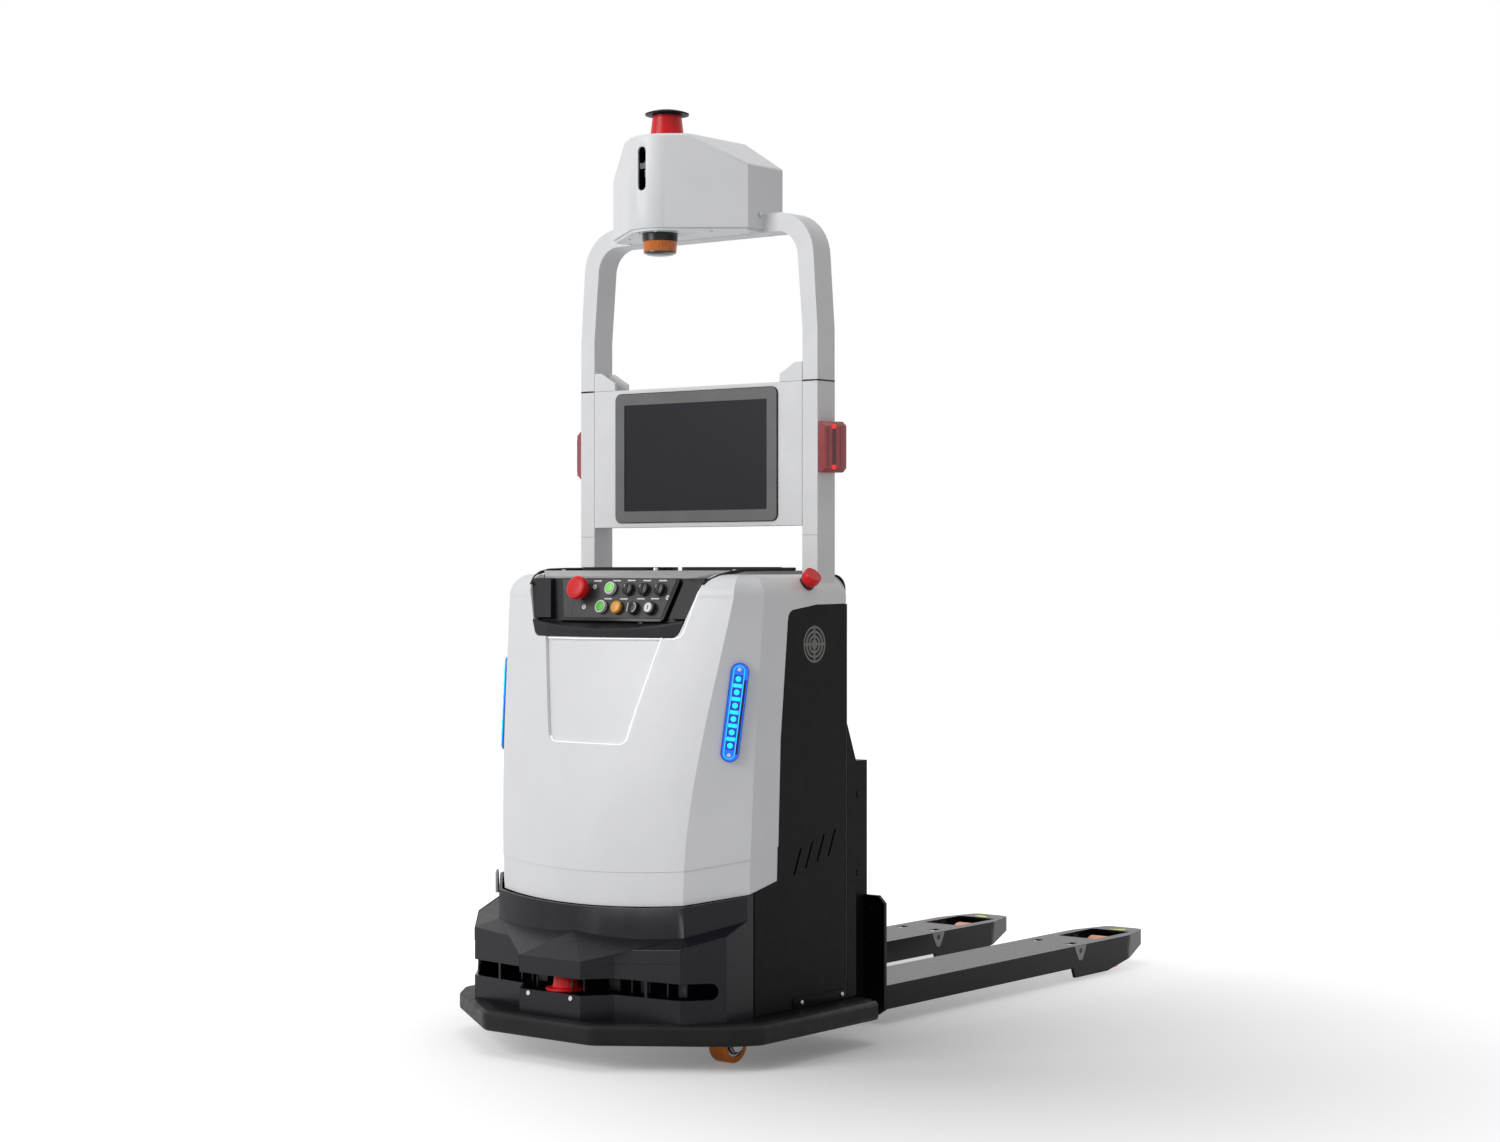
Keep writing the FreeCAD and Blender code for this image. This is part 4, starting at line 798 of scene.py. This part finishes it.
def make_post_details():
    lines = Form()
    for x, y, z, width, length in SEAMS:
        lines.pad(front_spot(x, y, z), box_outline(width, length, 0.4), 0.25, 0.1)
    for x in (309, -309):
        for z in (915, 1060):
            lines.pad(front_spot(x, -312, z), box_outline(39, 0.8, 0.3), 0.22, 0.1)
    lines.make("panel_seams", "seam_grey", "chassis")
    joints = Form()
    for x in (309, -309):
        place = top_spot(x, -282, 1379.4)
        joints.frame(place, box_outline(40.8, 60.8, 1.6), box_outline(38, 58, 1), 3.4)
    joints.frame(front_spot(0, -312.2, 1231), box_outline(451, 283, 15.5, 6),
                 box_outline(447.6, 279.6, 14, 6), 2.2)
    joints.frame(front_spot(0, -315.5, 1231), box_outline(396, 232, 2), box_outline(392.6, 228.6, 1), 0.9)
    joints.make("post_joint_gaskets", "gloss_black", "chassis")
    lamps, ribs, dots = Form(), Form(), Form()
    for side in (1, -1):
        rings = []
        for z, cut in LAMP_ROWS:
            plan = [(329, -311), (344 - cut, -307), (370 - cut, -278 + cut), (370 - cut, -266), (329, -257)]
            rings.append([at(x * side, y, z) for x, y in plan])
        lamps.loops(rings)
        rib = spot(357 * side, -292.5, 1242, (29 * side, -26, 0))
        ribs.pad(moved(rib, 0, 0, -0.6), box_outline(6.5, 74, 2.6), 1.6, 0.4)
        for a in (-13, 13):
            ribs.pad(moved(rib, a, 0, -0.6), box_outline(1.4, 84, 0.6), 1.0, 0.3)
        for b in (-42, 42):
            dots.lathe(moved(rib, 0, b, -0.4), [(4.4, 0), (4.4, 0.8), (3, 1.2), (0, 1.3)], 24)
    piece = lamps.make("post_lamp_bodies", "lamp", "chassis", bevel=1.6)
    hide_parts("post_lamps")
    ribs.make("post_lamp_ribs", "lamp_dark", "chassis")
    dots.make("post_lamp_dots", "lamp_dot", "chassis")


LENS_GROOVE = 0.55


def make_head_details():
    inside = Form()
    place = top_spot(0, -440, 1776)
    inside.lathe(place, [(24, 0), (24, 104)], 40)
    inside.make("head_camera_tube", "gloss_black", "chassis")
    # painted glint: a grey glowing band on the camera tube and T-shaped marks in front of it stand in for the
    # reflection seen in the head's slot
    glint_marks = Form().lathe(moved(place, 0, 0, 62), [(24.2, 0), (25, 0.6), (25, 10), (24.2, 10.6)], 40)
    glint_marks.pad(front_spot(-6, -468, 1837), box_outline(30, 12, 1), 1.0, 0.3)
    glint_marks.pad(front_spot(-4, -468, 1826), box_outline(9, 2.4, 0.5), 1.0, 0.3)
    glint_marks.pad(front_spot(-6, -468, 1819), box_outline(2.2, 13, 0.5), 1.0, 0.3)
    glint_marks.make("head_camera_painted_glint", "glint", "chassis")
    screws = Form()
    for side in (1, -1):
        hex_bolt(screws, spot(187 * side, -326, 1733, (side, 0, 0)), 5.2, 4)
        socket_screw(screws, spot(187 * side, -268, 1733, (side, 0, 0)), 4.5, 2.5)
    for x, y in ((-24, -470), (24, -470), (114, -396), (-114, -396), (168, -330), (-168, -330), (168, -262),
                 (-168, -262), (66, -300), (-66, -300)):
        socket_screw(screws, under_spot(x, y, 1696.8), 4.2, 2)
    screws.make("head_screws", "steel", "chassis")
    top = under_spot(0, -428, 1697)
    collar = Form().lathe(top, [(38, 0), (38, 2.5), (37.4, 3), (37.0, 16.2), (37.3, 17), (36, 17.4)], 64)
    collar.make("beacon_collar", "gloss_black", "chassis")
    lens = Form()
    rings = []
    for height, radius in ((16.8, 36.0), (17.4, 36.4), (38.6, 34.6), (39.2, 34.2)):
        origin, u, v, n = top
        rings.append([origin + heading(u, v, k * math.pi / 60)
                      * (radius - (LENS_GROOVE if k % 4 < 2 else 0)) / 1000 + n * height / 1000
                      for k in range(120)])
    piece = lens.loops(rings).make("beacon_lens", "amber", "chassis")
    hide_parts("warning_beacon")
    cap = [(34.3, 0), (34.5, 1.6), (33.6, 3), (27, 6.2), (16, 8.3), (0, 8.9)]
    dome = Form().lathe(moved(top, 0, 0, 39), cap, 64)
    dome.make("beacon_dome", "smoked", "chassis")
    lidar = top_spot(0, -405, 1900)
    seal = Form().lathe(lidar, [(38.4, 0), (38.4, 1.4), (37.4, 2)], 64)
    seal.lathe(moved(lidar, 0, 0, 47), [(31.6, 0), (31.6, 3.2), (31, 3.4)], 64)
    seal.make("lidar_seals", "gloss_black", "chassis")


# White cover: columns are height, crease x, crease y; its front bows out by COVER_BOW
COVER_ROWS = [(300, 245, -645), (460, 252, -642), (700, 278, -608), (930, 308, -563)]
COVER_BOW = 45


def cover_spot(x, z):
    """Point on the bowed front of the white cover."""
    for low, high in zip(COVER_ROWS, COVER_ROWS[1:]):
        if z <= high[0]:
            break
    share = (z - low[0]) / (high[0] - low[0])
    crease_x, crease_y = (low[k] + share * (high[k] - low[k]) for k in (1, 2))
    radius = (crease_x ** 2 + COVER_BOW ** 2) / (2 * COVER_BOW)
    return at(x, crease_y - COVER_BOW + radius - math.sqrt(radius ** 2 - x ** 2), z)


def make_cover_details():
    # Glowing tubes along the recess and notch edges paint the highlight that those edges catch
    edge = Form()
    path = [(160 - 53 * k / 10, 850 - 19.1 * k) for k in range(11)]
    path += [(103.5, 644), (97, 636.5), (88, 633)] + [(x, 633) for x in range(70, -80, -12)]
    path += [(-88, 633), (-97, 636.5), (-103.5, 644)]
    edge.tube([cover_spot(x, z) for x, z in path], 1.4, 10)
    notch = [(-150, 846), (-51, 846), (58, 847), (190, 848), (202, 852), (209, 861), (217, 890), (225, 920),
             (232, 944)]
    edge.tube([cover_spot(x, z) for x, z in notch], 1.2, 10)
    edge.make("recess_edge_painted_highlight", "painted_highlight_white", "chassis")
    lip = Form()
    right = [(340, -556, 288), (340, -625, 261), (281, -697, 238), (125, -716, 227), (82.6, -771, 206)]
    left = [(-x, y, z) for x, y, z in reversed(right)]
    lip.tube([at(x * 0.998, y + 0.8, z - 0.6) for x, y, z in right + left], 1.7, 10)
    lip.make("lower_cover_lip", "panel", "chassis")
    skin = Form()
    for side in (1, -1):
        rings = []
        for (x, y, z), (across, ahead) in zip(right[2:], ((0.3, -1), (0.5, -0.7), (0.8, -0.55))):
            rings.append([at((x + across * rise) * side, y + ahead * rise, z + height)
                          for rise, height in ((0.9, -0.4), (0.9, -27), (-0.6, -28), (-0.6, -0.4))])
        skin.loops(rings)
    skin.make("lower_cover_lip_skin", "moulded", "chassis")


def make_nose_details():
    screws = Form()
    for x in (-57, 58):
        socket_screw(screws, front_spot(x, -771, 131), 5.2, 2.6)
    screws.make("nose_screws", "steel", "chassis")
    ribs = Form()
    for x, y in ((-150, -702), (-118, -704), (-60, -752), (36, -752), (64, -748), (118, -702),
                 (150, -700), (238, -694)):
        ribs.pad(front_spot(x, y + 12, 155), box_outline(2.2, 31, 0.8), 3.0, 0.6)
    for x, y, width in ((-100, -690, 26), (96, -690, 30), (170, -682, 24), (262, -676, 20)):
        ribs.pad(front_spot(x, y + 14, 155), box_outline(width, 31, 2), 6.0, 1.2)
    ribs.make("scanner_slot_ribs", "slot_grey", "chassis")
    place = top_spot(0, -722, 138)
    glass = [(38, 0), (41, 0.4), (41, 3.4), (40, 4.8), (29.5, 5.2), (27.2, 6.4), (25.8, 15), (23.2, 31.5),
             (22.5, 33)]
    window = Form().lathe(place, glass, 64)
    piece = window.make("scanner_window", "red", "chassis")
    body = Form().lathe(place, [(38, -47), (38, -12), (36, -10), (36, -6), (38, -4), (38, 0.2)], 56)
    body.lathe(moved(place, 0, 0, 33), [(24, 0), (30, 1.5), (36, 2.2), (36, 12), (34, 14)], 56)
    body.make("scanner_body", "gloss_black", "chassis")
    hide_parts("safety_scanner")
    fins = Form()
    fins.pad(spot(-338, -566, 318, (-1, 0, 0)), [(-3, -24), (3, -24), (3, 20), (-1, 26)], 6.5, 0.8)
    fins.make("lower_cover_fins", "seam_grey", "chassis")


def make_side_details():
    plates, screws, seams = Form(), Form(), Form()
    for side in (1, -1):
        plates.pad(side_spot(340 * side, -322, 104), box_outline(180, 19, 2), 2.5, 0.8)
        for y in (-384, -246):
            socket_screw(screws, side_spot(342.4 * side, y, 103), 4.6, 2.6)
        seams.pad(side_spot(340 * side, -226, 480), box_outline(1.4, 700, 0.5), 0.3, 0.1)
    plates.make("side_foot_plates", "black", "chassis")
    screws.make("side_screws", "steel", "chassis")
    seams.make("side_seams", "slot_grey", "chassis")
    back = Form()
    for x in (-300, 300):
        for z in (150, 330, 520, 720, 900):
            y = -192.5 if z < 588 else -224
            socket_screw(back, rear_spot(x, y, z), 4.6, 2.4)
    back.make("rear_screws", "steel", "chassis")
    vent = Form()
    for k in range(9):
        vent.pad(rear_spot(0, -224, 790 + k * 12), box_outline(200, 5, 2.4), 1.6, 0.6)
    vent.make("rear_vent_ribs", "moulded", "chassis")
    under = Form()
    for k in range(10):
        turn = math.radians(36 * k + 18)
        x, y = 150 * math.sin(turn), -410 + 150 * math.cos(turn)
        hex_bolt(under, under_spot(x, y, 78.6), 6, 4)
    under.make("base_bolts", "steel", "chassis")


# Fork: outline of the tip's mark, and where the plates in the deck's pockets lie; these plates glow white as
# painted light, standing in for the lit floor seen through the pockets
TIP_MARK = [(181, 1098), (225.5, 1101.5), (227, 1106), (219, 1121), (214, 1122.5), (201, 1116.5), (182, 1101)]
POCKET_X = (152, 248.5)
POCKET_Y = 803


def make_lift_details():
    bolts = Form()
    for side in (1, -1):
        for y, z in ((-40, 330), (-40, 500)):
            hex_bolt(bolts, side_spot(229 * side, y, z), 6.5, 4.5)
        for z in (60, 150, 245):
            hex_bolt(bolts, rear_spot(205 * side, 0, z + 30 if z == 60 else z), 6.5, 4)
    bolts.make("mast_bolts", "black", "fork_frame")
    plugs = Form()
    for x in (-250, 250):
        for z in (190, 250):
            plug = [(6.4, 0), (6.4, 8.2), (5.6, 9.0), (3.4, 9.0), (3, 7.6), (0, 7.6)]
            plugs.lathe(rear_spot(x, -9.6, z), plug, 32)
    plugs.make("carriage_hole_plugs", "gloss_black", "fork_frame")
    ribs = Form()
    for x in (-150, 0, 150):
        ribs.pad(rear_spot(x, 0.2, 420), box_outline(60, 230, 10), 2.0, 1.2)
    ribs.make("mast_ribs", "black", "fork_frame")
    plates, holes, marks = Form(), Form(), Form()
    for x, y in ((282.5, 800), (118, 800), (-118, 781), (-282.5, 800)):
        out = 1 if x in (282.5, -118) else -1
        place = spot(x, y, 67, (out, 0, 0))
        plates.pad(place, [(-26, 17), (26, 17), (22, 6), (7, -18), (-7, -18), (-22, 6)], 1.0, 0.4)
        holes.lathe(moved(place, 0, 5, 0.9), [(6.5, 0), (6.2, 0.5), (4.2, 0.7), (4.0, 0.2)], 24)
    plates.make("fork_side_plates", "seam_grey", "fork_frame")
    holes.make("fork_plate_holes", "gloss_black", "fork_frame")
    for side in (1, -1):
        place = top_spot(0, 0, 82.4)
        marks.pad(place, [(x * side, y) for x, y in TIP_MARK], 2.3, 0.6)
    # painted light: glowing white plates under the deck's pockets stand in for the bright floor seen through
    # them
    pockets = Form()
    for x in POCKET_X:
        for side in (1, -1):
            place = top_spot(x * side, POCKET_Y, 82)
            pockets.pad(place, box_outline(17.4, 15.4, 1), 1.6, 0.3)
    pockets.make("fork_pocket_painted_light", "pocket_painted_floor_light", "fork_frame")
    # the markers are real green; their glow is painted light
    marks.make("fork_tip_markers", "marker_green_painted_glow", "fork_frame")


# Bearing seal: rows are radius and height
SEAL = [(17, 0), (17, 1.6), (19, 2.2), (21, 1.6), (21, 0)]


def both_ends(profile):
    """Profile of one end of a wheel, continued over the other end."""
    return profile + [(radius, -height) for radius, height in reversed(profile)]


def make_wheel_details():
    for side in ("right", "left"):
        for wheel, node, radius, half, reach in (("caster", "caster_wheel_" + side, 38, 20, 1.5),
                                                 ("rear", "load_roller_rear_" + side, 37, 35, 0),
                                                 ("front", "load_roller_front_" + side, 37, 35, 0)):
            body = body_name(node)
            low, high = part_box(node)
            axle = ((Vector(low) + Vector(high)) / 2, Vector((0, 1, 0)), Vector((0, 0, 1)), Vector((1, 0, 0)))
            tread = [(26, -half), (radius - 2.6, -half), (radius - 0.8, 0.8 - half), (radius, 2.6 - half)]
            tyre = Form().turned(axle, both_ends(tread), 88)
            # the load rollers' finish glows as painted light
            colour = "caster_orange" if wheel == "caster" else "roller_peach_painted_glow"
            piece = tyre.make("tyre_%s_%s" % (wheel, side), colour, body)
            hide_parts(node)
            boss = [(8.2, -half - reach), (12, -half - reach), (12.6, 0.6 - half), (16, 3 - half),
                    (25, 3 - half), (26.2, 1 - half)]
            hub = Form().turned(axle, both_ends(boss), 56)
            hub.make("hub_%s_%s" % (wheel, side), "steel", body)
            ring = Form()
            for place in wheel_spots(node):
                ring.turned(moved(place, 0, 0, -reach - 3.2), SEAL, 48)
            ring.make("bearing_seals_%s_%s" % (wheel, side), "gloss_black", body)
    hub = Form()
    for origin, u, v, n in wheel_spots("drive_wheel"):
        for k in range(6):
            place = (origin + heading(u, v, math.radians(60 * k)) * 0.044, u, v, n)
            hex_bolt(hub, moved(place, 0, 0, -9.8), 6, 4.5)
    hub.make("drive_wheel_bolts", "steel", body_name("drive_wheel"))


def body_name(node):
    return body_of(frame["nodes"][node])[0]


# Soft edges on the frame's own nodes: columns are node and width in millimetres
SOFT_NODES = [
    ("lower_cover", 1.4), ("control_panel", 1.0), ("top_lid", 1.2), ("side_panel_right", 1.0),
    ("side_panel_left", 1.0), ("rear_cover", 1.0), ("base_plate", 1.0), ("bumper", 2.0), ("lower_posts", 1.6),
    ("arch_frame", 1.6), ("screen_panel", 1.0), ("screen_bezel", 0.8), ("head_base_plate", 0.8),
    ("mast_box", 1.5), ("fork_carriage", 1.2), ("fork_right", 1.2), ("fork_left", 1.2), ("drive_wheel", 2.0),
    ("head_housing", 0.8),
]


def soften_nodes():
    for node, width in SOFT_NODES:
        piece = frame["nodes"][node]
        weld = piece.modifiers.new("join_points", "WELD")
        weld.merge_threshold = 0.00002
        soften(piece, width)


make_camera()
make_floor()
make_world()
make_lamps()
dress_nodes()
soften_nodes()
make_button_plate()
make_buttons()
make_stops()
make_side_lights()
make_lid_details()
make_post_details()
make_head_details()
make_cover_details()
make_nose_details()
make_side_details()
make_lift_details()
make_wheel_details()

bpy.context.scene.view_settings.view_transform = "Standard"
